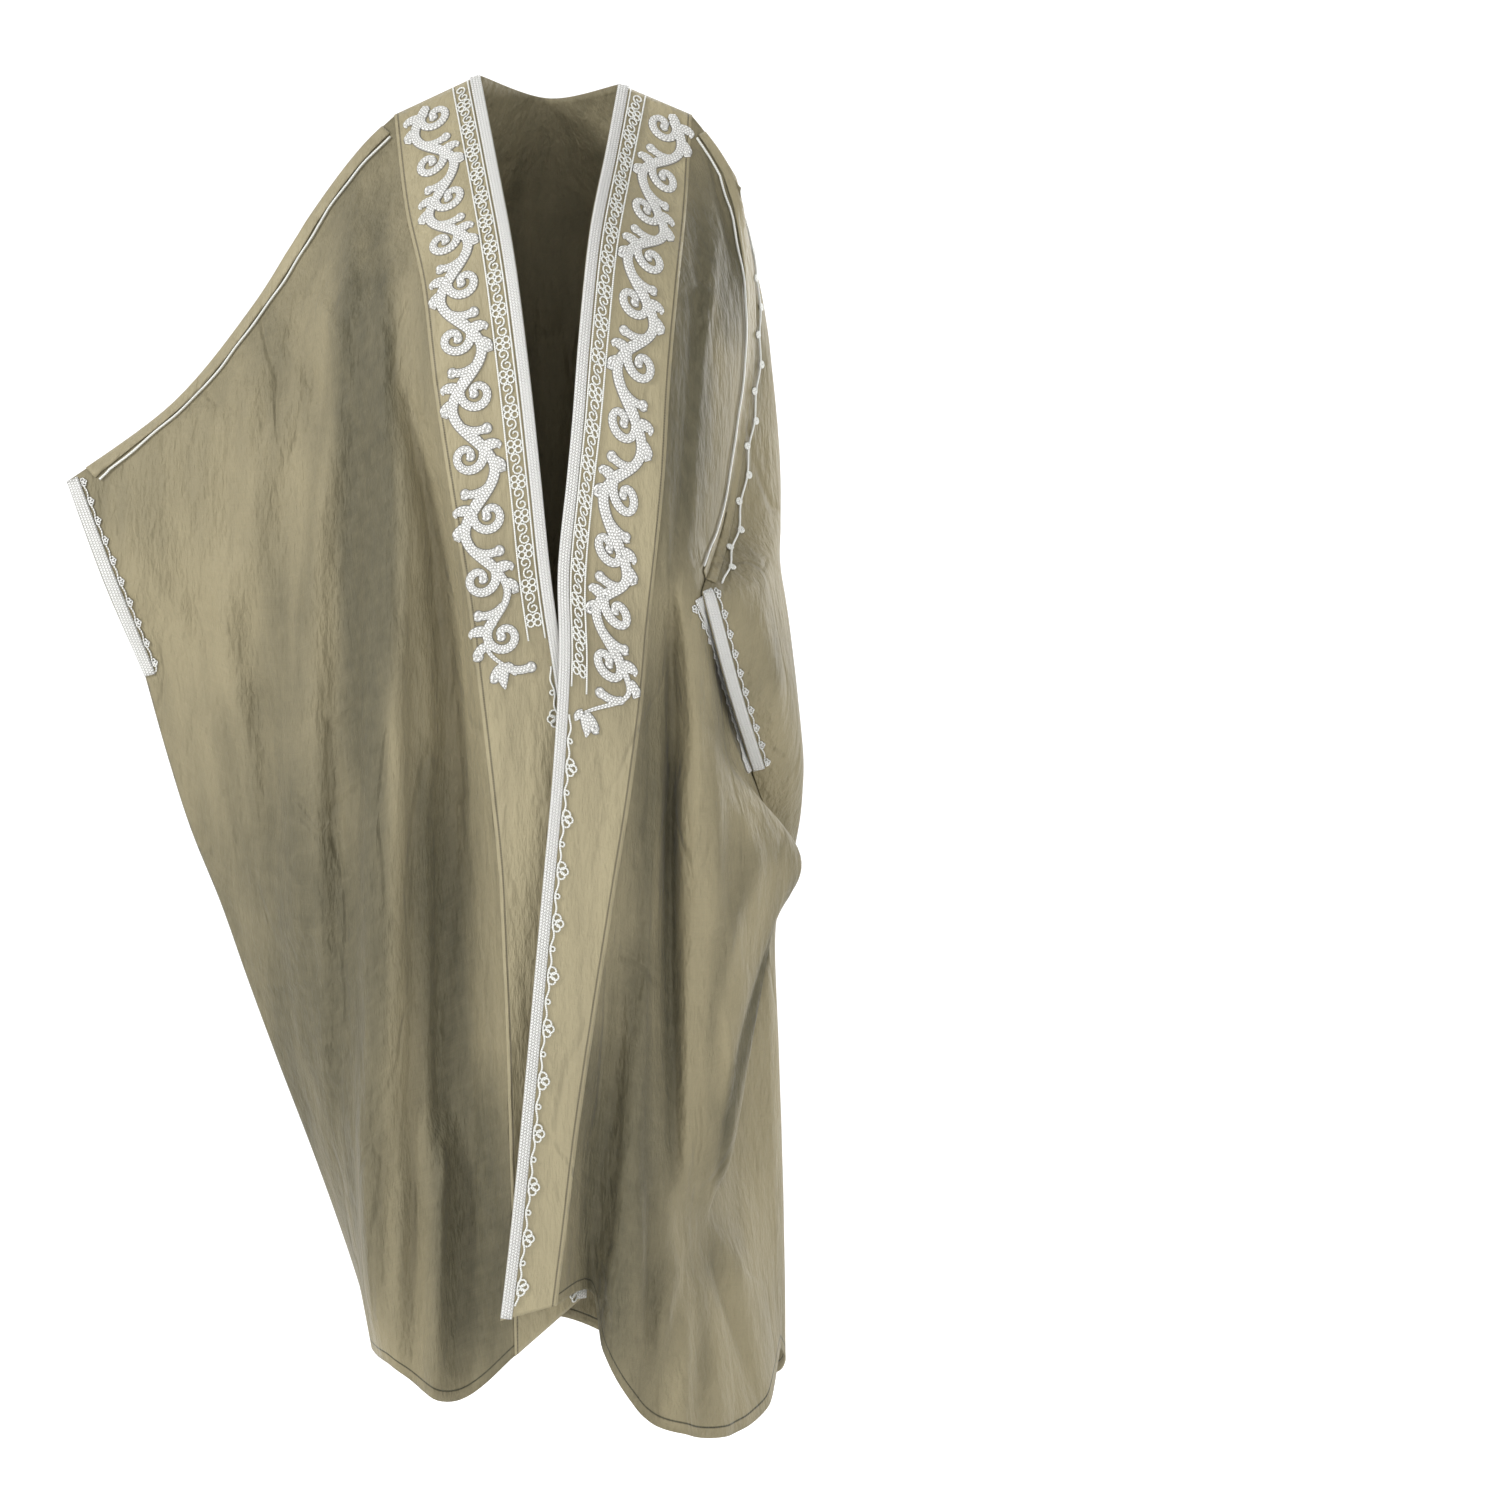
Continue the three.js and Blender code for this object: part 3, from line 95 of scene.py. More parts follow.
# Sections from the top down. A front's begin with its heights at the edge and at the side and
# the arch between them, the back's with its heights at the right, the middle and the left. Then
# come the stations as (x, y), or as (x, y, z) where one has a height of its own.
RIGHT_SECTIONS = (
    ((2, -175, 38), (-75, -3), (-166, -5), (-192, -5), (-214, -5), (-235, -5), (-254, -5),
     (-271, -5)),
    ((-100, -250, 6), (-59, -86), (-154, -74), (-182, -68), (-208, -60), (-240, -45), (-280, -24),
     (-317, -5)),
    ((-210, -352, 8), (-42, -158), (-136, -140), (-165, -124), (-196, -112), (-245, -78),
     (-322, -40), (-400, -5)),
    ((-330, -434, 8), (-27, -172), (-124, -158), (-150, -136), (-176, -134), (-245, -84),
     (-372, -42), (-510, -5)),
    ((-440, -540, 6), (-15, -166), (-107, -158), (-131, -124), (-156, -146), (-236, -88),
     (-352, -52), (-469, -32)),
    ((-545, -640, 4), (-4, -160), (-90, -155), (-120, -112), (-158, -148), (-232, -92),
     (-330, -50), (-428, -4)),
    ((-650, -720, 0), (12, -149), (-77, -150), (-113, -104), (-162, -146), (-228, -96),
     (-316, -50), (-406, -2)),
    ((-750, -800, 0), (26, -144), (-66, -149), (-110, -98), (-165, -144), (-225, -98),
     (-302, -50), (-381, 0)),
    ((-830, -880, 0), (34, -138), (-58, -148), (-109, -96), (-168, -142), (-222, -100),
     (-286, -50), (-349, 0)),
    ((-910, -960, 0), (39, -128), (-54, -146), (-108, -98), (-170, -140), (-219, -98),
     (-270, -48), (-321, 0)),
    ((-1000, -1050, 0), (42, -118), (-50, -145), (-107, -102), (-173, -137), (-214, -92),
     (-252, -44), (-288, 0)),
    ((-1110, -1150, 0), (42, -106), (-47, -146), (-107, -110), (-179, -133), (-208, -86),
     (-230, -40), (-250, 0)),
    ((-1200, -1250, 0), (38, -100), (-44, -150), (-108, -120), (-181, -130), (-199, -80),
     (-208, -38), (-215, 2)),
    ((-1285, -1338, 0), (32, -98), (-42, -156, -1338), (-104, -140, -1386), (-168, -124, -1350),
     (-184, -82, -1346), (-190, -40, -1343), (-188, 4)),
)

LEFT_SECTIONS = (
    ((-5, -117, 35), (72, -3), (150, -17), (161, -19), (171, -21), (180, -22), (187, -23),
     (193, -24), (197, -25), (201, -25)),
    ((-85, -208, 6), (56, -72), (140, -74), (151, -72), (162, -68), (173, -62), (184, -55),
     (194, -47), (203, -37), (210, -27)),
    ((-180, -295, 6), (36, -140), (128, -128), (141, -120), (153, -111), (165, -101), (177, -89),
     (189, -74), (200, -54), (209, -30)),
    ((-285, -383, 6), (24, -169), (118, -152), (132, -142), (145, -131), (157, -118), (169, -103),
     (180, -86), (189, -64), (197, -40)),
    ((-370, -476, 0), (18, -168), (112, -158), (124, -149), (135, -140), (146, -129), (156, -115),
     (165, -99), (173, -80), (179, -59)),
    ((-440, -554, 0), (12, -165), (104, -160), (110, -158), (117, -156), (124, -155), (131, -153),
     (138, -149), (145, -144), (150.6, -138.2)),
    ((-530, -650, 0), (3, -162), (96, -157), (107, -142), (115, -128), (123, -124), (137, -134),
     (156, -112), (171, -80), (187, -48)),
    ((-620, -740, 0), (4, -160), (89, -155), (102, -134), (113, -122), (124, -106), (144, -128),
     (180, -88), (200, -56), (212.4, -30.6)),
    ((-740, -827, 0), (-3, -162), (76, -158), (95, -136), (109, -127), (122, -98), (147, -126),
     (260, -46), (244, -18), (243, 12)),
    ((-850, -908, 0), (-13, -164), (60, -160), (84, -136), (104, -132), (121, -96), (149, -120),
     (233, -60), (196, -20), (237, 24)),
    ((-970, -1030, 0), (-24, -168), (41, -163), (68, -134), (97, -139), (121, -100), (147, -116),
     (210, -74), (166, -32), (240, 27)),
    ((-1100, -1150, 0), (-36, -173), (22, -166), (50, -131), (86, -146), (122, -110), (142, -112),
     (186, -76), (158, -42), (244, 29)),
    ((-1200, -1245, 0), (-46, -178), (10, -170), (40, -129), (74, -149), (112, -134), (136, -108),
     (158, -84), (180, -62), (247, 30)),
    ((-1297, -1362, 0), (-57, -183), (0, -178, -1283), (37, -128, -1276), (50, -150, -1335),
     (88, -158, -1400), (138, -148, -1424), (188, -112, -1430), (228, -50, -1412), (250, 28)),
)

BACK_SECTIONS = (
    ((-175, -10, -117), (-271, -5), (-225, -6.6, -110), (-166, -6, -42.1), (-75, -3, 2),
     (0, 58, -10), (72, -3, -5), (150, -17, -46.5), (171, -21, -65), (187, -23, -86.5),
     (201, -25)),
    ((-250, -120, -208), (-317, -5), (-258, 30), (-186, 66), (-82, 98), (0, 112), (78, 104),
     (150, 82), (200, 42), (221, 4), (210, -27)),
    ((-352, -235, -295), (-400, -5), (-322, 34), (-212, 84), (-86, 126), (0, 132), (86, 128),
     (166, 104), (218, 60), (237, 12), (209, -30)),
    ((-434, -330, -383), (-510, -5), (-396, 38), (-240, 82), (-90, 132), (0, 138), (88, 136),
     (172, 117), (229, 68), (245, 12), (197, -40)),
    ((-540, -430, -476), (-474, 30), (-370, 45), (-238, 84), (-90, 135), (0, 140), (92, 138),
     (178, 119), (237, 62), (243, -12), (179, -59)),
    ((-640, -520, -554), (-428, -4), (-335, 46), (-232, 86), (-90, 136), (0, 140), (96, 139),
     (192, 113), (252, 24), (222, -88), (152, -141)),
    ((-720, -620, -650), (-406, -2), (-318, 46), (-226, 88), (-90, 136), (0, 140), (98, 140),
     (204, 104), (262, 8), (238, -76), (181, -92)),
    ((-800, -710, -740), (-381, 0), (-302, 48), (-218, 90), (-90, 136), (0, 141), (99, 143),
     (208, 108), (270, 24), (254, -26), (214, -33)),
    ((-880, -810, -827), (-349, 0), (-286, 48), (-209, 92), (-90, 137), (0, 142), (101, 148),
     (206, 120), (262, 62), (260, 32), (243, 12)),
    ((-960, -900, -908), (-321, 0), (-268, 50), (-199, 92), (-89, 138), (0, 142), (104, 153),
     (204, 130), (244, 84), (246, 52), (237, 24)),
    ((-1050, -1010, -1030), (-288, 0), (-245, 50), (-188, 92), (-87, 137), (0, 140), (105, 155),
     (203, 134), (243, 88), (250, 56), (240, 27)),
    ((-1150, -1130, -1150), (-250, 0), (-218, 50), (-172, 92), (-84, 132), (0, 136), (105, 155),
     (204, 134), (246, 88), (253, 57), (244, 29)),
    ((-1250, -1230, -1245), (-215, 2), (-196, 48), (-160, 88), (-81, 124), (0, 130), (104, 153),
     (205, 132), (248, 87), (256, 58), (247, 30)),
    ((-1338, -1345, -1362), (-188, 4), (-180, 46, -1352), (-148, 84, -1392), (-86, 116, -1410),
     (0, 126, -1342), (98, 150, -1384), (204, 130, -1416), (248, 86, -1402), (258, 58, -1384),
     (250, 28)),
)

# Large folds: both ends as x and z, then width, height and maybe a bow
RIGHT_FOLDS = (
    (-120, -1080, -121, -1420, 15, 26), (-232, -330, -250, -900, 26, 12),
    (-208, -360, -212, -1080, 16, -10), (-300, -330, -345, -700, 22, 9),
    (-345, -380, -300, -800, 20, -8), (-268, -520, -262, -1040, 20, 8),
    (-118, -330, -96, -760, 12, -8),
)

LEFT_FOLDS = (
    (160, -520, 168, -900, 12, 10), (196, -860, 176, -1190, 16, 9), (60, -1090, 70, -1400, 15, 9),
    (150, -1250, 128, -1440, 14, 10), (168, -1235, 196, -1450, 13, -9),
    (186, -1225, 236, -1420, 13, 8),
)

BACK_FOLDS = (
    (-60, -300, -44, -1400, 26, 12), (-118, -420, -112, -1400, 24, -14),
    (28, -360, 44, -1380, 24, -13), (98, -300, 96, -1410, 28, 12),
    (158, -520, 156, -1430, 22, -11), (-196, -420, -160, -1380, 26, 11),
    (-300, -420, -262, -960, 28, 9), (-352, -470, -318, -860, 22, -8),
)


@dataclass(frozen=True)
class Crease:
    """A soft ridge (height > 0) or trough (height < 0) of the cloth along a bowed line."""

    start: tuple[float, float]
    end: tuple[float, float]
    width: float
    height: float
    bow: float = 0.0
    runs_out: bool = True

    def pull(self, x: np.ndarray, z: np.ndarray) -> np.ndarray:
        """Says how far the crease lifts the cloth.

        Args:
            x: Places across, in millimetres.
            z: Heights, in millimetres.

        Returns:
            The lift at each place.
        """
        dx, dz = self.end[0] - self.start[0], self.end[1] - self.start[1]
        length = math.hypot(dx, dz)
        t = ((x - self.start[0]) * dx + (z - self.start[1]) * dz) / length**2
        t = np.clip(t, 0, 1)
        swing = self.bow * np.sin(math.pi * t)
        away_x = x - self.start[0] - dx * t + swing * dz / length
        away_z = z - self.start[1] - dz * t - swing * dx / length
        off = np.hypot(away_x, away_z) / self.width
        ends = np.sin(math.pi * (np.minimum(0.5, t * 1.6) if self.runs_out else t))
        rise = np.maximum(0, ends) ** (1 if self.runs_out else 0.7)
        return self.height * rise * np.exp(-off * off)


def folds_of(table: Iterable[Sequence[float]], runs_out: bool) -> list[Crease]:
    """The creases of a table, whose rows give both ends, width, height and maybe a bow."""
    return [
        Crease((x0, z0), (x1, z1), *rest, runs_out=runs_out) for x0, z0, x1, z1, *rest in table
    ]


def lerp(a: float, b: float, t: float) -> float:
    """Goes from a to b."""
    return a + (b - a) * t


def unit(vectors: np.ndarray) -> np.ndarray:
    """Vectors at length one."""
    size = np.linalg.norm(vectors, axis=-1, keepdims=True)
    return vectors / np.maximum(size, 1e-9)


def catmull(points: np.ndarray, places: np.ndarray) -> np.ndarray:
    """Catmull-Rom values of a list of points, straight where there are only two.

    Args:
        points: The points, first axis along the curve.
        places: Fractional indices.

    Returns:
        One value for each place.
    """
    last = len(points) - 1
    i = np.clip(np.floor(places).astype(int), 0, last - 1)
    t = (places - i).reshape((-1,) + (1,) * (points.ndim - 1))
    p1, p2 = points[i], points[i + 1]
    if last == 1:
        return p1 + (p2 - p1) * t
    p0, p3 = points[np.maximum(0, i - 1)], points[np.minimum(last, i + 2)]
    return 0.5 * (
        2 * p1
        + (p2 - p0) * t
        + (2 * p0 - 5 * p1 + 4 * p2 - p3) * t**2
        + (3 * p1 - p0 - 3 * p2 + p3) * t**3
    )


def catmull_between(points: np.ndarray, places: np.ndarray, corners: Sequence[int]) -> np.ndarray:
    """The same, drawn anew between one corner and the next.

    Args:
        points: The points, first axis along the curve.
        places: Where to read it, in steps from one point to the next.
        corners: Numbers of the points at which it bends sharply.

    Returns:
        The curve at those places.
    """
    stops = [0, *corners, len(points) - 1]
    out = np.empty((len(places), *points.shape[1:]))
    for low, high in zip(stops, stops[1:]):
        chosen = (places >= low) & (places <= high)
        out[chosen] = catmull(points[low : high + 1], places[chosen] - low)
    return out


def front_row(section: Row) -> list[tuple[float, ...]]:
    """A front section's stations as points, its heights filled in between its ends.

    Args:
        section: A row of the tables of the fronts.

    Returns:
        The points of its stations.
    """
    (z_in, z_out, rise), *stations = section
    start, end = stations[0][0], stations[-1][0]
    row = []
    for x, y, *height in stations:
        t = min(1.0, max(0.0, (x - start) / (end - start)))
        level = lerp(z_in, z_out, t) + rise * math.sin(math.pi * t)
        row.append((x, y, height[0] if height else level))
    return row


def back_row(section: Row) -> list[tuple[float, ...]]:
    """The same for the back, whose rows fall from the middle towards both sides.

    Args:
        section: A row of the back's table.

    Returns:
        The points of its stations.
    """
    (z_right, z_mid, z_left), *stations = section
    row = []
    for x, y, *height in stations:
        outer, end = (z_right, stations[0]) if x < 0 else (z_left, stations[-1])
        level = lerp(z_mid, outer, min(1.0, max(0.0, x / end[0])))
        row.append((x, y, height[0] if height else level))
    return row


def grid_normals(grid: np.ndarray, turn: int) -> np.ndarray:
    """Outward normals of a grid of points."""
    return unit(np.cross(np.gradient(grid, axis=1), np.gradient(grid, axis=0))) * turn


def runs_of(points: np.ndarray) -> np.ndarray:
    """How far along its line each point is."""
    return np.concatenate([[0], np.cumsum(np.linalg.norm(np.diff(points, axis=0), axis=1))])


def measured(grid: np.ndarray, axis: int) -> np.ndarray:
    """How far along one way of a grid each point is."""
    steps = np.linalg.norm(np.diff(grid, axis=axis), axis=2)
    return np.insert(np.cumsum(steps, axis=axis), 0, 0.0, axis=axis)


@dataclass
class Panel:
    """One cut piece of the cloth: its outer surface, read at the solids' own mesh places."""

    rows: list[list[tuple[float, ...]]]
    stations: tuple[str, ...]
    steps: tuple[int, ...]
    turn: int
    facing: int
    corners: dict[int, tuple[int, ...]]
    turns: tuple[int, ...]
    folds: list[Crease]
    creases: list[Crease]
    flat: int = 0
    ripple: float = 1.6
    seed: float = 0.0
    grid: np.ndarray = field(init=False)
    normals: np.ndarray = field(init=False)
    inward: np.ndarray = field(init=False)

    def __post_init__(self) -> None:
        """Draws the surface and works its folds and creases into it."""
        cage = np.array(self.rows, dtype=float)
        fine = ROW_STEPS * ROW_FINE
        places = np.arange((len(cage) - 1) * fine + 1) / fine
        sides = [
            catmull_between(cage[:, s], places, self.corners.get(s, ()))
            for s in range(cage.shape[1])
        ]
        across = [
            s + k / (n * COLUMN_FINE)
            for s, n in enumerate(self.steps) for k in range(n * COLUMN_FINE)
        ]
        across = np.array([*across, len(self.steps)], dtype=float)
        self.grid = np.swapaxes(
            catmull_between(np.array(sides), across, self.turns), 0, 1
        )
        self.press(self.folds, True)
        self.press(self.creases, False)
        self.stir()
        self.normals = grid_normals(self.grid, self.turn)

    @property
    def last_row(self) -> int:
        """The last row place."""
        return (self.grid.shape[0] - 1) // ROW_FINE

    @property
    def last_column(self) -> int:
        """The last column place."""
        return (self.grid.shape[1] - 1) // COLUMN_FINE

    def column(self, station: str) -> int:
        """The column place of a station."""
        return sum(self.steps[: self.stations.index(station)])

    def inset(self) -> np.ndarray:
        """How free each point is to move: none along the seams, the facing and the top.

        Returns:
            A weight for each point, from 0 to 1.
        """
        rows, columns = self.grid.shape[:2]
        c = np.arange(columns) / COLUMN_FINE
        free = np.clip((c - self.flat) / 3, 0, 1) * np.clip((self.last_column - c) / 3, 0, 1)
        top = np.clip(np.arange(rows) / ROW_FINE, 0, 1)
        return top[:, None] * free[None, :]

    def press(self, creases: list[Crease], seen_only: bool) -> None:
        """Works creases into the surface, on the side that faces their own view.

        Args:
            creases: The creases to work in.
            seen_only: Whether only the facing of their view counts. Otherwise they are deeper.
        """
        normals = grid_normals(self.grid, self.turn)
        x, z = self.grid[..., 0], self.grid[..., 2]
        seen = np.maximum(0, normals[..., 1] * self.facing)
        move = sum((crease.pull(x, z) for crease in creases), np.zeros(x.shape))
        weight = seen if seen_only else CREASE_DEPTH * np.sqrt(seen)
        self.grid = self.grid + normals * (move * self.inset() * weight)[..., None]

    def stir(self) -> None:
        """Adds the small waves that hanging cloth has."""
        normals = grid_normals(self.grid, self.turn)
        points = self.grid.reshape(-1, 3)
        waves = np.array([
            noise.noise(Vector((x / 46 + self.seed, y / 60, z / 210)))
            + 0.35 * noise.noise(Vector((x / 17, y / 24 + self.seed, z / 60)))
            for x, y, z in points
        ]).reshape(self.grid.shape[:2])
        self.grid = self.grid + normals * (waves * self.ripple * self.inset())[..., None]

    def lay(self, rows: np.ndarray, columns: np.ndarray, lift: float | np.ndarray = 0.0
            ) -> tuple[np.ndarray, np.ndarray]:
        """Points over the surface.

        Args:
            rows: Fractional row places.
            columns: Fractional column places.
            lift: How far off the cloth.

        Returns:
            The points and the surface's normals there.
        """
        r = np.clip(rows * ROW_FINE, 0, self.grid.shape[0] - 1)
        c = np.clip(columns * COLUMN_FINE, 0, self.grid.shape[1] - 1)
        i = np.minimum(r.astype(int), self.grid.shape[0] - 2)
        j = np.minimum(c.astype(int), self.grid.shape[1] - 2)
        f, g = (r - i)[..., None], (c - j)[..., None]

        def blend(field_: np.ndarray) -> np.ndarray:
            """Reads one field between its four neighbours."""
            top = field_[i, j] * (1 - g) + field_[i, j + 1] * g
            low = field_[i + 1, j] * (1 - g) + field_[i + 1, j + 1] * g
            return top * (1 - f) + low * f

        normals = unit(blend(self.normals))
        return blend(self.grid) + normals * np.asarray(lift)[..., None], normals


class Mesh:
    """Gathers points, faces and texture places, in millimetres, for one object."""

    def __init__(self) -> None:
        """Starts empty."""
        self.points: list[np.ndarray] = []
        self.places: list[np.ndarray] = []
        self.faces: list[tuple[int, ...]] = []
        self.extra: dict[str, list[np.ndarray]] = {}
        self.count = 0

    def add(self, points: np.ndarray, places: np.ndarray, faces: Iterable[Sequence[int]],
            **extra: np.ndarray) -> None:
        """Adds points (n, 3), their texture places (n, 2), faces and named values.

        Args:
            points: The points to add.
            places: Their texture places.
            faces: The faces between them, counted from the first of them.
            **extra: Named values of the points.
        """
        self.points.append(points)
        self.places.append(places)
        self.faces.extend(tuple(int(v) + self.count for v in face) for face in faces)
        for name, values in extra.items():
            self.extra.setdefault(name, []).append(values)
        self.count += len(points)

    def shell(self, outer: np.ndarray, inner: np.ndarray, places: np.ndarray, flip: bool,
              **extra: np.ndarray) -> None:
        """Adds a closed shell between two grids of points.

        Args:
            outer: The grid of the outer side.
            inner: The grid of the inner side.
            places: Texture places of both.
            flip: Whether the faces are turned the other way.
            **extra: Named values of the points.
        """
        rows, columns = outer.shape[:2]
        index = np.arange(rows * columns).reshape(rows, columns)
        a, b, c, d = index[:-1, :-1], index[1:, :-1], index[1:, 1:], index[:-1, 1:]
        top = np.stack([a, b, c, d], axis=-1).reshape(-1, 4)
        under = top[:, ::-1] + rows * columns
        border = np.concatenate([
            index[:, 0], index[-1, 1:], index[-2::-1, -1], index[0, -2:0:-1],
        ])
        after = np.roll(border, -1)
        rim = np.stack([after, border, border + rows * columns, after + rows * columns], axis=-1)
        faces = np.concatenate([top, under, rim])
        if flip:
            faces = faces[:, ::-1]
        both = {name: np.concatenate([v.ravel(), v.ravel()]) for name, v in extra.items()}
        flat = places.reshape(-1, 2)
        self.add(
            np.concatenate([outer.reshape(-1, 3), inner.reshape(-1, 3)]),
            np.concatenate([flat, flat]), faces, **both,
        )

    def loft(self, rings: np.ndarray, places: np.ndarray, closed: bool) -> None:
        """Adds a skin over rings of points (n, k, 3), with both ends capped.

        Args:
            rings: The rings of points.
            places: Their texture places.
            closed: Whether a ring closes on itself.
        """
        count, size = rings.shape[:2]
        index = np.arange(count * size).reshape(count, size)
        after = np.roll(index, -1, axis=1) if closed else index[:, 1:]
        start = index if closed else index[:, :-1]
        faces = np.stack([start[:-1], after[:-1], after[1:], start[1:]], axis=-1).reshape(-1, 4)
        caps = [tuple(index[0][::-1]), tuple(index[-1])]
        self.add(rings.reshape(-1, 3), places.reshape(-1, 2), [*faces.tolist(), *caps])

    def make(self, name: str, material: bpy.types.Material) -> bpy.types.Object:
        """Makes the object, smooth-shaded, with its texture places in metres.

        Args:
            name: Name of the object.
            material: What it is made of.

        Returns:
            The object.
        """
        mesh = bpy.data.meshes.new(name)
        mesh.from_pydata((np.concatenate(self.points) * MM).tolist(), [], self.faces)
        places = np.concatenate(self.places) * MM
        corners = np.empty(len(mesh.loops), dtype=np.int32)
        mesh.loops.foreach_get("vertex_index", corners)
        layer = mesh.uv_layers.new(name="places")
        layer.data.foreach_set("uv", places[corners].astype(np.float32).ravel())
        for key, values in self.extra.items():
            attribute = mesh.attributes.new(key, "FLOAT", "POINT")
            attribute.data.foreach_set("value", np.concatenate(values).astype(np.float32))
        mesh.polygons.foreach_set("use_smooth", [True] * len(mesh.polygons))
        mesh.materials.append(material)
        mesh.validate()
        piece = bpy.data.objects.new(name, mesh)
        bpy.context.collection.objects.link(piece)
        return piece


class Lay:
    """Places measured across and along an edge of a panel, for what is laid beside it."""

    def __init__(self, panel: Panel, path: Sequence[tuple[float, float]],
                 distances: Sequence[float]) -> None:
        """Measures the cloth beside the edge.

        Args:
            panel: The panel.
            path: The edge's [row, column] places.
            distances: How far in from the edge the cloth is measured, from 0 up.
        """
        self.panel = panel
        self.distances = np.array(distances, dtype=float)
        edge = np.array(path, dtype=float)
        points, _ = panel.lay(edge[:, 0], edge[:, 1])
        self.runs = runs_of(points)
        self.length = float(self.runs[-1])
        self.table = self.march(edge, points)

    def march(self, edge: np.ndarray, points: np.ndarray) -> np.ndarray:
        """Walks in over the cloth, square to the edge, and notes the places passed.

        Args:
            edge: Where the edge runs, as rows and columns.
            points: The edge's points.

        Returns:
            The rows and columns reached at each of the distances.
        """
        panel = self.panel
        tangents = unit(np.gradient(points, axis=0))
        heart_rows = np.clip(edge[:, 0], 3, panel.last_row - 2)
        heart_columns = np.clip(edge[:, 1], 3, panel.last_column - 3)
        heart = panel.lay(heart_rows, heart_columns)[0] - points
        places = edge.copy()
        table = [places.copy()]
        for reach in np.diff(self.distances):
            steps = max(1, round(reach / 1.5))
            for _ in range(steps):
                r0 = np.clip(places[:, 0], 0.1, panel.last_row - 0.1)
                c0 = np.clip(places[:, 1], 0.1, panel.last_column - 0.1)
                down = (panel.lay(r0 + 0.1, c0)[0] - panel.lay(r0 - 0.1, c0)[0]) / 0.2
                over = (panel.lay(r0, c0 + 0.1)[0] - panel.lay(r0, c0 - 0.1)[0]) / 0.2
                dr, dc = (over * tangents).sum(1), -(down * tangents).sum(1)
                move = down * dr[:, None] + over * dc[:, None]
                sign = np.sign((move * heart).sum(1))
                scale = sign * (reach / steps) / np.maximum(np.linalg.norm(move, axis=1), 1e-6)
                places[:, 0] = np.clip(places[:, 0] + dr * scale, 0, panel.last_row)
                places[:, 1] = np.clip(places[:, 1] + dc * scale, 0, panel.last_column)
            table.append(places.copy())
        return np.array(table)

    def places(self, across: np.ndarray, along: np.ndarray) -> tuple[np.ndarray, np.ndarray]:
        """Row and column places at distances across and along.

        Args:
            across: Distances in from the edge, in millimetres.
            along: Distances along it, in millimetres.

        Returns:
            The rows and the columns.
        """
        u = np.interp(across, self.distances, np.arange(len(self.distances)))
        v = np.interp(along, self.runs, np.arange(len(self.runs)))
        i = np.minimum(u.astype(int), len(self.distances) - 2)
        j = np.minimum(v.astype(int), len(self.runs) - 2)
        f, g = (u - i)[..., None], (v - j)[..., None]
        low = self.table[i, j] * (1 - g) + self.table[i, j + 1] * g
        high = self.table[i + 1, j] * (1 - g) + self.table[i + 1, j + 1] * g
        place = low * (1 - f) + high * f
        return place[..., 0], place[..., 1]

    def lay(self, across: np.ndarray, along: np.ndarray, lift: float | np.ndarray
            ) -> tuple[np.ndarray, np.ndarray]:
        """Points and normals at distances across and along, lifted off the cloth."""
        rows, columns = self.places(np.asarray(across, float), np.asarray(along, float))
        return self.panel.lay(rows, columns, lift)


class FrontLay(Lay):
    """The same for a front edge, whose facing is a share of the cloth's width."""

    def __init__(self, panel: Panel) -> None:
        """Measures the front edge and the facing's width.

        Args:
            panel: The front that is measured.
        """
        self.panel = panel
        self.rows = np.arange(panel.grid.shape[0]) / ROW_FINE
        edge, band = panel.grid[:, 0], panel.grid[:, BAND_STEPS * COLUMN_FINE]
        self.runs = runs_of(edge)
        self.length = float(self.runs[-1])
        self.widths = np.linalg.norm(band - edge, axis=1)

    def places(self, across: np.ndarray, along: np.ndarray) -> tuple[np.ndarray, np.ndarray]:
        """Row and column places at distances across and along.

        Args:
            across: Distances in from the edge, in millimetres.
            along: Distances along it, in millimetres.

        Returns:
            The rows and the columns.
        """
        rows = np.interp(along, self.runs, self.rows)
        widths = np.interp(along, self.runs, self.widths)
        return rows, across / widths * BAND_STEPS


class Section(Enum):
    """The cross-section of a thread or tape: points of [side, height], from left to right."""

    PAD = ((-1, -0.1), (-0.98, 0.6), (-0.88, 0.9), (-0.4, 1.0), (0, 1.0), (0.4, 1.0),
           (0.88, 0.9), (0.98, 0.6), (1, -0.1))
    TAPE = ((-1, 0), (-0.97, 0.8), (-0.5, 1.0), (0, 0.82), (0.5, 1.0), (0.97, 0.8), (1, 0))
    CORD = tuple(
        (-math.sin(math.pi * k / 3), 1 - math.cos(math.pi * k / 3)) for k in range(7)
    )


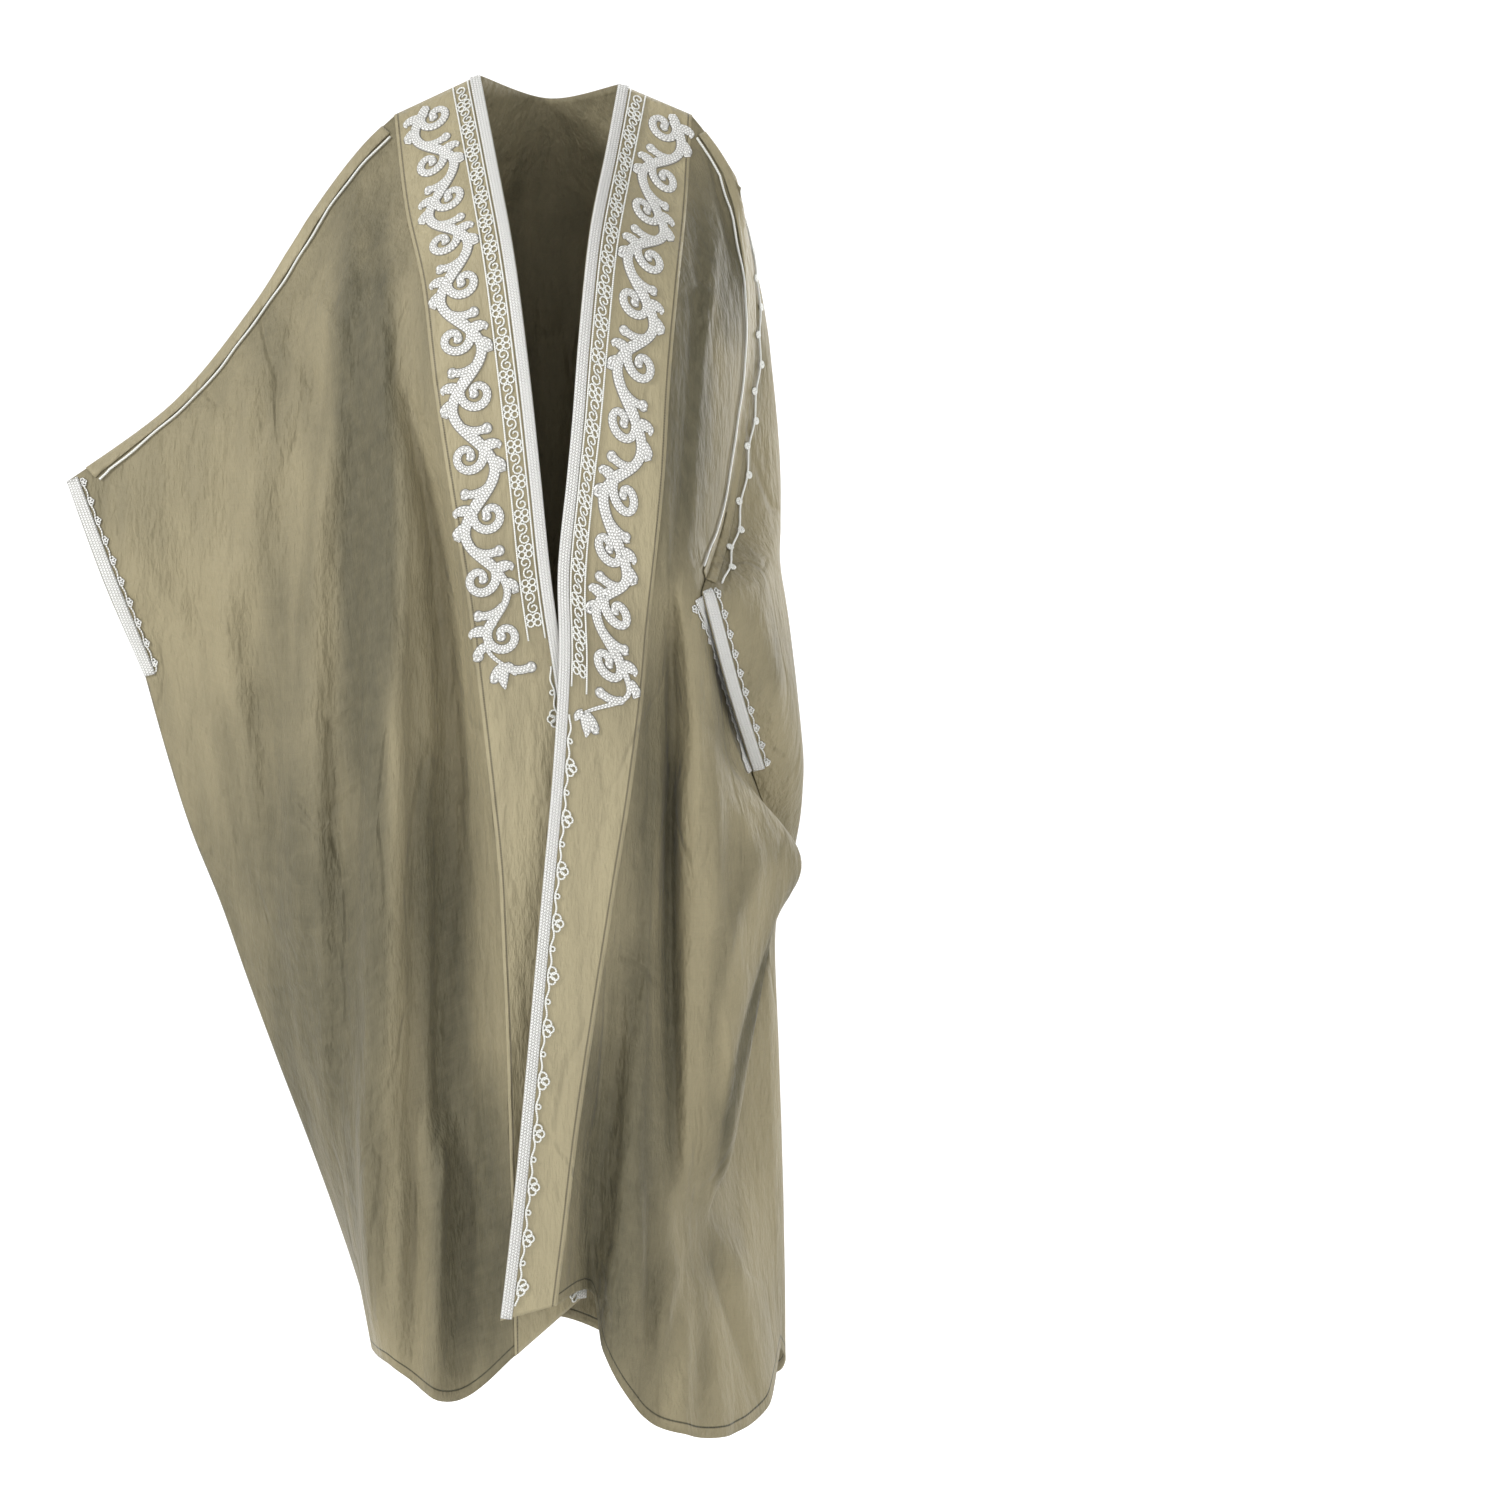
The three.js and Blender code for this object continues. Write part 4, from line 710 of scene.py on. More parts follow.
@dataclass(frozen=True)
class Thread:
    """How a line is worked: its section, half width, height and lift off the cloth."""

    section: Section
    half: float
    height: float
    lift: float

    def work(self, mesh: Mesh, lay: Lay, line: np.ndarray,
             share: Callable[[np.ndarray], np.ndarray] | None = None) -> None:
        """Works one line onto a lay.

        Args:
            mesh: Where it goes.
            lay: What it is laid on.
            line: Its places, [across, along].
            share: The share of the full width along it, from 0 to 1 of its length.
        """
        points, normals = lay.lay(line[:, 0], line[:, 1], self.lift)
        run = runs_of(points)
        part = run / max(run[-1], 1e-6)
        width = (share(part) if share else np.ones(len(line)))[:, None]
        tangents = unit(np.gradient(points, axis=0))
        sides = unit(np.cross(tangents, normals))
        shape = np.array(self.section.value)
        grow = width if self.section is Section.CORD else np.minimum(1, width * 1.6)
        rings = (
            points[:, None]
            + sides[:, None] * (shape[None, :, :1] * self.half * width[:, None])
            + normals[:, None] * (shape[None, :, 1:] * self.height * grow[:, None])
        )
        across = np.cumsum([0, *np.hypot(*np.diff(shape, axis=0).T)]) - 1.2
        if self.section is not Section.CORD:
            across = shape[:, 0]
        places = np.stack(np.broadcast_arrays(
            across[None, :] * self.half * np.maximum(width, 0.2), run[:, None],
        ), axis=-1)
        mesh.loft(rings, places, closed=self.section is not Section.CORD)


def straight(across: float, start: float, end: float, step: float) -> np.ndarray:
    """A line along the edge at one distance across."""
    along = np.linspace(start, end, max(2, round((end - start) / step) + 1))
    return np.stack([np.full(len(along), across), along], axis=1)


def rounded(part: np.ndarray, cap: float = 0.08) -> np.ndarray:
    """The width share of a line with round ends."""
    edge = np.clip(np.minimum(part, 1 - part) / cap, 0.02, 1)
    return np.sqrt(1 - (1 - edge) ** 2)


def arc(centre: tuple[float, float], radii: tuple[float, float], start: float, sweep: float,
        steps: int) -> np.ndarray:
    """An arc or spiral round a centre, angles in degrees.

    Args:
        centre: Its centre, across and along.
        radii: Its radius at each end.
        start: The angle that it starts at.
        sweep: The angle that it turns through.
        steps: How many points it has.

    Returns:
        The points, across and along.
    """
    t = np.linspace(0, 1, steps + 1)
    angle = np.radians(start + sweep * t)
    radius = radii[0] + (radii[1] - radii[0]) * t
    x, y = centre[0] + radius * np.cos(angle), centre[1] + radius * np.sin(angle)
    return np.stack([x, y], axis=1)


class Value:
    """A number carried by a socket, with the usual operators."""

    def __init__(self, shade: Shade, socket: bpy.types.NodeSocket) -> None:
        """Wraps a socket of a material."""
        self.shade = shade
        self.socket = socket

    def maths(self, operation: str, *others: Value | float, first: Value | float | None = None
              ) -> Value:
        """Adds a Math node.

        Args:
            operation: Its operation.
            others: The inputs after this value.
            first: What takes this value's place as the first input, if anything does.

        Returns:
            Its result.
        """
        inputs = [first, self, *others] if first is not None else [self, *others]
        node = self.shade.node("ShaderNodeMath", {"operation": operation}, dict(enumerate(inputs)))
        return Value(self.shade, node.outputs[0])

    def __add__(self, other: Value | float) -> Value:
        """Adds."""
        return self.maths("ADD", other)

    __radd__ = __add__

    def __sub__(self, other: Value | float) -> Value:
        """Subtracts."""
        return self.maths("SUBTRACT", other)

    def __rsub__(self, other: Value | float) -> Value:
        """Subtracts this from the other."""
        return self.maths("SUBTRACT", first=other)

    def __mul__(self, other: Value | float) -> Value:
        """Multiplies."""
        return self.maths("MULTIPLY", other)

    __rmul__ = __mul__

    def __truediv__(self, other: Value | float) -> Value:
        """Divides."""
        return self.maths("DIVIDE", other)

    def __abs__(self) -> Value:
        """The size without its sign."""
        return self.maths("ABSOLUTE")

    def fract(self) -> Value:
        """The part after the point."""
        return self.maths("FRACT")

    def wave(self) -> Value:
        """The sine, for a phase counted in turns."""
        return (self * math.tau).maths("SINE")

    def between(self, low: float, high: float) -> Value:
        """Rises softly from 0 at low to 1 at high."""
        node = self.shade.node(
            "ShaderNodeMapRange", {"interpolation_type": "SMOOTHSTEP"},
            {"Value": self, "From Min": low, "From Max": high},
        )
        return Value(self.shade, node.outputs["Result"])


class Shade:
    """Builds one procedural material."""

    def __init__(self, name: str) -> None:
        """Starts a material with an empty tree.

        Args:
            name: Name of the material.
        """
        self.material = bpy.data.materials.new(name)
        self.material.use_nodes = True
        self.tree = self.material.node_tree
        self.tree.nodes.clear()

    def node(self, kind: str, settings: dict[str, Any] | None = None,
             inputs: dict[str | int, Any] | None = None) -> bpy.types.Node:
        """Adds a node.

        Args:
            kind: Its type.
            settings: Its own settings, which are set first.
            inputs: Values or links of its sockets.

        Returns:
            The node.
        """
        node = self.tree.nodes.new(kind)
        for key, value in (settings or {}).items():
            setattr(node, key, value)
        for key, value in (inputs or {}).items():
            socket = value.socket if isinstance(value, Value) else value
            if isinstance(socket, bpy.types.NodeSocket):
                self.tree.links.new(socket, node.inputs[key])
            else:
                node.inputs[key].default_value = socket
        return node

    def places(self) -> tuple[Value, Value]:
        """The place across and along the piece, in metres.

        Returns:
            Both places.
        """
        uv = self.node("ShaderNodeUVMap", {"uv_map": "places"})
        split = self.node("ShaderNodeSeparateXYZ", inputs={0: uv.outputs[0]})
        return Value(self, split.outputs[0]), Value(self, split.outputs[1])

    def point(self, x: Value | float, y: Value | float, z: Value | float = 0.0
              ) -> bpy.types.NodeSocket:
        """A vector of three numbers."""
        return self.node("ShaderNodeCombineXYZ", inputs={0: x, 1: y, 2: z}).outputs[0]

    def solid_point(self, across: float, depth: float, up: float) -> bpy.types.NodeSocket:
        """The place in the object, in metres, stretched by three factors."""
        where = self.node("ShaderNodeTexCoord").outputs["Object"]
        return self.node(
            "ShaderNodeVectorMath", {"operation": "MULTIPLY"}, {0: where, 1: (across, depth, up)}
        ).outputs[0]

    def noise(self, vector: bpy.types.NodeSocket, scale: float, detail: float = 2.0,
              rough: float = 0.5) -> Value:
        """A soft noise from 0 to 1."""
        node = self.node(
            "ShaderNodeTexNoise", {},
            {"Vector": vector, "Scale": scale, "Detail": detail, "Roughness": rough},
        )
        return Value(self, node.outputs["Fac"])

    def wrinkles(self, vector: bpy.types.NodeSocket, scale: float, stir: float) -> Value:
        """Fine creases between smooth patches: 0 along a crease, 1 away from it.

        Args:
            vector: Where it is read.
            scale: How many patches to a metre.
            stir: How much the creases wander.

        Returns:
            Its value.
        """
        wander = self.node("ShaderNodeTexNoise", {}, {"Vector": vector, "Scale": scale * 0.8})
        moved = self.node("ShaderNodeVectorMath", {"operation": "MULTIPLY_ADD"}, {
            0: wander.outputs["Color"], 1: (stir / scale * 1.4,) * 3, 2: vector,
        })
        cells = self.node(
            "ShaderNodeTexVoronoi", {"feature": "DISTANCE_TO_EDGE"},
            {"Vector": moved.outputs[0], "Scale": scale},
        )
        return Value(self, cells.outputs["Distance"]).between(0.0, 0.07)

    def attribute(self, name: str) -> Value:
        """A value kept on the mesh's points."""
        node = self.node("ShaderNodeAttribute", {"attribute_name": name})
        return Value(self, node.outputs["Fac"])

    def mix(self, factor: Value, low: Any, high: Any) -> bpy.types.NodeSocket:
        """Mixes two colours by a factor.

        Args:
            factor: How much of the second there is.
            low: The first colour.
            high: The second colour.

        Returns:
            The mixed colour's socket.
        """
        node = self.node("ShaderNodeMix", {"data_type": "RGBA", "clamp_factor": True})
        self.tree.links.new(factor.socket, node.inputs[0])
        for index, colour in ((6, low), (7, high)):
            if isinstance(colour, bpy.types.NodeSocket):
                self.tree.links.new(colour, node.inputs[index])
            else:
                node.inputs[index].default_value = (*colour, 1.0)
        return node.outputs[2]

    def bump(self, height: Value, distance: float, strength: float,
             under: bpy.types.NodeSocket | None = None) -> bpy.types.NodeSocket:
        """A Bump node's normal, over another one if given.

        Args:
            height: The height that is worked in.
            distance: Its depth, in metres.
            strength: How much of it shows.
            under: The normal that it goes over, if any.

        Returns:
            The normal's socket.
        """
        node = self.node(
            "ShaderNodeBump", inputs={"Height": height, "Distance": distance, "Strength": strength}
        )
        if under is not None:
            self.tree.links.new(under, node.inputs["Normal"])
        return node.outputs[0]

    def finish(self, colour: bpy.types.NodeSocket, roughness: Value | float,
               normal: bpy.types.NodeSocket, fixed: dict[str, Any]) -> bpy.types.Material:
        """Closes the material with its shader.

        Args:
            colour: The base colour's socket.
            roughness: The roughness.
            normal: The bumped normal.
            fixed: Values that are the same all over.

        Returns:
            The material.
        """
        shader = self.node("ShaderNodeBsdfPrincipled", {}, {
            "Base Color": colour, "Roughness": roughness, "Normal": normal, **fixed,
        })
        self.node("ShaderNodeOutputMaterial", {}, {"Surface": shader.outputs[0]})
        return self.material


Colour = tuple[float, float, float]


@dataclass(frozen=True)
class ClothFinish:
    """Fine plain-woven cloth with slubs, packing creases and a soft sheen."""

    name: str
    light: Colour
    dark: Colour
    roughness: float
    sheen: float
    thread: float = 0.0011
    slub: float = 0.9
    crush: float = 0.75
    hem: float = 0.011

    def make(self) -> bpy.types.Material:
        """Builds the material.

        Returns:
            The material.
        """
        s = Shade(self.name)
        across, along = s.places()
        warp = s.noise(s.point(across * 900, along * 22), 1.0, 2.0)
        weft = s.noise(s.point(across * 26, along * 900), 1.0, 2.0)
        slub = (warp.between(0.35, 0.75) + weft.between(0.35, 0.75)) * 0.5
        cloud = s.noise(s.solid_point(1.0, 1.0, 0.35), 9.0, 3.0)
        streak = s.noise(s.solid_point(1.0, 1.0, 0.12), 34.0, 3.0)
        # The tone attribute carries painted shade and painted light; cloud and streak add random
        # mottling of the cloth
        tone = s.attribute("tone")
        painted_shade_and_mottle = tone + (cloud - 0.5) * 0.6 + (streak - 0.5) * 0.6
        base = s.mix(painted_shade_and_mottle.between(0.0, 1.0), self.dark, self.light)
        fleck = s.mix((slub - 0.5) * self.slub + 0.5, tuple(c * 0.78 for c in self.light),
                      tuple(min(1.0, c * 1.2) for c in self.light))
        colour = s.mix(s.noise(s.point(across, along), 70.0) * 0.3 + 0.12, base, fleck)
        seam = (abs(s.attribute("hem") - self.hem)).between(0.0, 0.0016)
        colour = s.mix(1 - seam, colour, s.mix(
            (along * 420).fract().between(0.3, 0.6), tuple(c * 0.5 for c in self.dark), self.dark))
        pitch = 1 / self.thread
        weave = (across * pitch).wave() * (along * pitch).wave() * 0.5 + slub * 0.9
        crush = s.noise(s.solid_point(1.0, 1.0, 0.5), 26.0, 4.0, 0.55)
        fine = s.noise(s.solid_point(1.6, 1.6, 0.4), 90.0, 3.0, 0.6)
        lines = 1 - s.wrinkles(s.solid_point(1.0, 1.0, 0.4), 12.0, 0.9)
        kept = s.noise(s.solid_point(1.0, 1.0, 0.6), 7.0, 2.0).between(0.46, 0.62)
        normal = s.bump(crush * 1.25 + fine * 0.4 - lines * kept * 0.3, 0.012, self.crush)
        normal = s.bump(weave, 0.0003, 0.35, normal)
        normal = s.bump(seam, 0.0006, 0.5, normal)
        rough = self.roughness + (slub - 0.5) * 0.12
        return s.finish(colour, rough, normal, {
            "Sheen Weight": self.sheen, "Sheen Roughness": 0.4, "Specular IOR Level": 0.3,
        })


@dataclass(frozen=True)
class ThreadFinish:
    """Silver-white thread worked in chain stitches, plaited or twisted."""

    name: str
    colour: Colour
    # The colour of the hollows between stitches and rows: painted shade
    gap_shade: Colour
    row: float
    link: float
    lean: float
    depth: float
    strength: float = 0.8

    def make(self) -> bpy.types.Material:
        """Builds the material.

        Returns:
            The material.
        """
        s = Shade(self.name)
        across, along = s.places()
        rows = across / self.row
        beside = abs(rows.fract() - 0.5) * 2
        shift = rows.maths("FLOOR") * 0.37
        stitch = (along / self.link + beside * self.lean + shift).fract()
        swell = 1 - abs(stitch - 0.5) * 2
        height = swell.between(0.0, 0.62) * (1 - beside.between(0.66, 1.0) * 0.8)
        fibre = s.noise(s.point(across * 2600, along * 700), 1.0, 2.0)
        cloud = s.noise(s.solid_point(1.0, 1.0, 1.0), 160.0, 2.0)
        # Painted shade: the colour falls to the gap's shade in the hollows, where the stitch is
        # low
        colour = s.mix(height * 0.9 + cloud * 0.2, self.gap_shade, self.colour)
        normal = s.bump(height + fibre * 0.25, self.depth, self.strength)
        rough = 0.55 - height * 0.15
        return s.finish(colour, rough, normal, {
            "Sheen Weight": 0.15, "Specular IOR Level": 0.45,
        })


@dataclass(frozen=True)
class PlainFinish:
    """A plain surface of the room."""

    name: str
    colour: Colour
    roughness: float
    glow: float

    def make(self) -> bpy.types.Material:
        """Builds the material.

        Returns:
            The material.
        """
        s = Shade(self.name)
        grain = s.noise(s.solid_point(1.0, 1.0, 1.0), 3.0)
        colour = s.mix(grain, self.colour, tuple(c * 0.99 for c in self.colour))
        return s.finish(colour, self.roughness, s.bump(grain, 0.001, 0.02), {
            "Emission Color": (1.0, 1.0, 1.0, 1.0), "Emission Strength": self.glow,
        })


# Small creases, worked in after the large folds and given in the same way
RIGHT_CREASES = (
    (-205, -120, -262, -620, 11, 4.5, 10), (-228, -150, -330, -560, 13, -5, -14),
    (-290, -330, -380, -700, 15, 5, 10), (-420, -420, -330, -760, 13, -4, 12),
    (-470, -470, -360, -640, 9, 4, 8), (-480, -520, -400, -560, 6, 3, 3),
    (-452, -560, -372, -585, 6, -3, -4), (-350, -560, -286, -1010, 13, 5, 14),
    (-300, -640, -262, -1150, 12, -5, -10), (-252, -560, -236, -1200, 10, 4.5, 8),
    (-224, -420, -222, -1240, 9, -4, -7), (-192, -430, -196, -1330, 9, 5, 6),
    (-172, -220, -160, -760, 8, 4.5, -6), (-146, -380, -150, -1290, 8, -5, 6),
    (-128, -560, -126, -1360, 8, 4.5, -7), (-104, -640, -84, -1180, 8, -4, 5),
    (-82, -560, -66, -900, 7, 3.5, 4), (-90, -1000, -72, -1360, 9, -5, -6),
    (-315, -970, -172, -948, 4, 2.6, 5), (-410, -678, -290, -640, 4, 2.4, -5),
    (-250, -240, -208, -330, 8, 4, 6), (-268, -270, -240, -360, 7, -4, -5),
    (-204, -1010, -186, -1340, 10, 5, 8), (-150, -1120, -158, -1380, 9, 5, -6),
    (-362, -330, -300, -420, 7, -3, 4), (-430, -395, -380, -470, 7, 3, -4),
)
LEFT_CREASES = (
    (150, -110, 122, -560, 9, -5, 8), (176, -150, 140, -520, 8, 5, -9),
    (160, -70, 196, -220, 7, -4, 6), (128, -200, 176, -260, 6, 3.5, -4),
    (110, -420, 100, -700, 7, 4, 5), (98, -620, 76, -1100, 8, 4.5, -8),
    (104, -760, 92, -1180, 7, -4.5, 6), (142, -560, 148, -1080, 8, 4.5, 6),
    (158, -760, 150, -1190, 8, -4, -5), (228, -800, 170, -1000, 9, 4.5, -12),
    (266, -846, 170, -1184, 6, -6, -14), (186, -760, 214, -900, 8, 4, 8),
    (168, -960, 182, -1140, 8, 4.5, 8), (86, -640, 40, -680, 4, 2.2, 2),
    (62, -1010, 44, -1330, 8, -4.5, 5), (78, -1090, 82, -1400, 9, 5, 7),
    (104, -1120, 106, -1430, 9, -5, -7), (140, -1210, 96, -1420, 8, 5, -9),
    (148, -1236, 142, -1440, 9, -5, 6), (154, -1240, 178, -1440, 9, 5.5, 7),
    (162, -1232, 214, -1430, 9, -4.5, 7), (170, -1220, 240, -1380, 9, 5, 10),
    (30, -1190, 60, -1290, 7, 4, 4),
)
BACK_CREASES = (
    (-30, -90, -160, -420, 13, 5, 14), (34, -90, 150, -430, 13, 5, -14),
    (0, -160, -6, -700, 14, -5, 8), (-150, -160, -260, -430, 12, -5, 10),
    (140, -150, 224, -420, 11, -4.5, -10), (-220, -250, -420, -520, 13, 5, -12),
    (-260, -330, -330, -700, 12, -5, 10), (-420, -470, -330, -760, 12, 4.5, -12),
    (-230, -520, -200, -1260, 12, 5, 12), (-150, -480, -138, -1330, 11, 5, -8),
    (-86, -420, -80, -1380, 10, -5, 8), (-20, -620, -14, -1340, 12, 5, -9),
    (66, -480, 70, -1360, 11, 5, 8), (126, -380, 130, -1390, 10, -5, -9),
    (190, -520, 186, -1400, 10, 5, 7), (232, -560, 222, -1380, 9, -4.5, -6),
    (-186, -700, -170, -1380, 9, -4.5, -8), (250, -300, 236, -560, 9, 4, 6),
    (196, -130, 236, -330, 9, 4.5, 8),
)

# How light the cloth is where no painted shade or painted light lies on it
CLOTH_TONE = 0.64

# Painted shade and painted light: soft stretches whose height is how much darker or lighter they
# are. The painted shade lies where the thin cloth hangs over the shaded hollow inside and along
# the shaded sides and edges of folds; the painted light lies where the cloth faces the light.
PAINTED_SHADE = (
    (-196, -60, -176, -1340, 30, 0.4, -4), (-212, -90, -204, -760, 15, 0.6),
    (-180, -120, -166, -700, 12, 0.45), (-330, -640, -240, -1330, 90, 0.34),
    (-225, -800, -215, -1330, 40, 0.2), (268, -842, 172, -1180, 8, 1.0, -14),
    (172, -1190, 150, -1420, 12, 0.25), (110, -1230, 96, -1420, 16, 0.25),
    (-300, -520, -262, -1000, 36, 0.2), (-340, -150, -250, -420, 30, 0.18),
    (-292, -430, -278, -700, 36, 0.3), (-118, -700, -98, -1380, 26, 0.8),
    (-70, -1020, -64, -1390, 30, 0.5), (160, -60, 124, -560, 26, 0.6),
    (196, -110, 186, -300, 20, 0.5), (121, -600, 123, -1180, 8, 0.75),
    (100, -620, 88, -1000, 20, 0.3), (84, -900, 74, -1380, 34, 0.5),
    (42, -1000, 50, -1400, 22, 0.45), (176, -540, 190, -740, 16, 0.3),
    (232, -780, 160, -1110, 14, 0.25, -20),
)
PAINTED_LIGHT = (
    (-340, -330, -340, -800, 80, 0.2), (-470, -480, -400, -640, 50, 0.25),
    (-158, -400, -170, -1250, 10, 0.25), (146, -560, 148, -1150, 13, 0.8),
    (240, -830, 170, -1090, 12, 0.5, -16), (250, -930, 222, -1300, 22, 0.4),
    (230, -640, 225, -820, 40, 0.3), (170, -1260, 200, -1430, 50, 0.45),
    (240, -300, 250, -600, 40, 0.35),
)

# Scrollwork in millimetres across the front and along it; angles are in degrees from straight
# across. In each half wave of the stem a spiral and leaves leave it, mirrored in the next half.
SCROLL_START = 14.0
SCROLL_LOW = 36.0
SCROLL_HIGH = 93.0
SCROLL_CENTRE = 64.5
STEM_SWING = 18.5
STEM_WIDTH = 10.2
WAVE_PITCH = 124.0
WAVES = {"right": 5.4, "left": 5.7}


@dataclass(frozen=True)
class Coil:
    """A spiral of the scroll: where it leaves the stem, its size and its turns."""

    along: float = -0.02
    radius: float = 19.0
    heading: float = 108.0
    turns: float = 1.2
    ease: float = 1.15
    width: float = 9.8
    boss: float = 3.2


@dataclass(frozen=True)
class Sprig:
    """A short bent leaf of the scroll, or a stalk with a ball where ball is its width."""

    along: float
    angle: float
    length: float
    bend: float
    width: float
    ball: float = 0.0


# The scroll's lower end turns in towards the braid, below the lace's end
END_TURN = 60.0
END_SHIFT = 20.0
LACE_SHORT = 24.0

COIL = Coil()
SPRIGS = (
    Sprig(along=0.08, angle=-30, length=25, bend=75, width=11),
    Sprig(along=0.19, angle=8, length=13, bend=60, width=9, ball=13),
    Sprig(along=0.35, angle=128, length=31, bend=70, width=8, ball=12.5),
)
END_SPRIGS = (
    Sprig(along=0, angle=62, length=24, bend=40, width=11),
    Sprig(along=0, angle=150, length=15, bend=-50, width=9),
    Sprig(along=0, angle=10, length=17, bend=60, width=8, ball=12),
)

# The scroll's padded strokes, and a thin dark rim under them that is a painted shadow round each
# stroke
SCROLL_PAD = Thread(Section.PAD, 1.0, 1.8, TRIM_LIFT + 0.25)
SCROLL_SHADOW = Thread(Section.PAD, 1.0, 0.35, TRIM_LIFT - 0.05)
EDGE_TAPE = Thread(Section.TAPE, 6.0, 1.9, TRIM_LIFT - 0.1)
CUFF_TAPE = Thread(Section.TAPE, 6.5, 1.9, 0.4)
LACE_CORD = Thread(Section.CORD, 0.95, 0.95, TRIM_LIFT)
FINE_CORD = Thread(Section.CORD, 0.8, 0.8, 0.5)
FINE_EDGE = Thread(Section.CORD, 1.05, 1.05, TRIM_LIFT)
NECK_TAPE = Thread(Section.TAPE, 6.0, 1.9, 0.4)
SLEEVE_CORD = Thread(Section.CORD, 1.25, 1.25, STRIP_LIFT + 0.4)

# How far from the edge the braid and the lace lie, and the lace's pitch, curls and rings
EDGE_BRAID_CENTRE = 6.0
LACE_LINES = (14.8, 32.2)
LACE_CENTRE = 23.5
LACE_PITCH = 35.5
CURL_RADIUS = 6.2
RING_RADIUS = 3.3
LACE_START = 12.0
LACE_RINGS = ((-3.7, 20.4), (3.7, 20.4), (-3.7, 27.0), (3.7, 27.0))
CURL_EYE = 1.7
CURL_SHIFT = 1.4
CURL_STEP = 11.2
NECK_CENTRE = 6.2

# The couched edging: where its cord runs, how far it bows, its rings and its leaves
EDGING_PITCH = 54.0
EDGING_BASE = 13.6
EDGING_SWING = 2.6
EDGING_RING = 2.3
EDGING_LEAF = 3.8

# The cuff's braid, and the cord and leaves beside it
CUFF_PITCH = 23.0
CUFF_CENTRE = 6.8
CUFF_BASE = 15.0
CUFF_SWING = 2.0
CUFF_LEAF = 1.9

# The sleeve strip: its first column, points along and tone, how far from the seam its halves
# start, and how far in from the seam the cloth is measured
STRIP_START = BAND_STEPS + 1.6
STRIP_STOPS = 150
STRIP_TONE = 0.55
SEAM_CLEAR = 0.6
SEAM_REACH = range(0, 33, 3)

# The sleeve cords: half a wave, the swing of the plain and the knotted one, the knots' rings
KNOT_PITCH = 30.0
PLAIN_SWING = 0.7
KNOTTED_SWING = 1.7
KNOT_RADII = (3.0, 1.5)
KNOT_SHIFT = 2.2

# How light the facing is, and its darker stretch: how much darker, where, and how long
FACING_TONE = 0.78
FACING_DARK = (0.3, 620.0, 90.0)


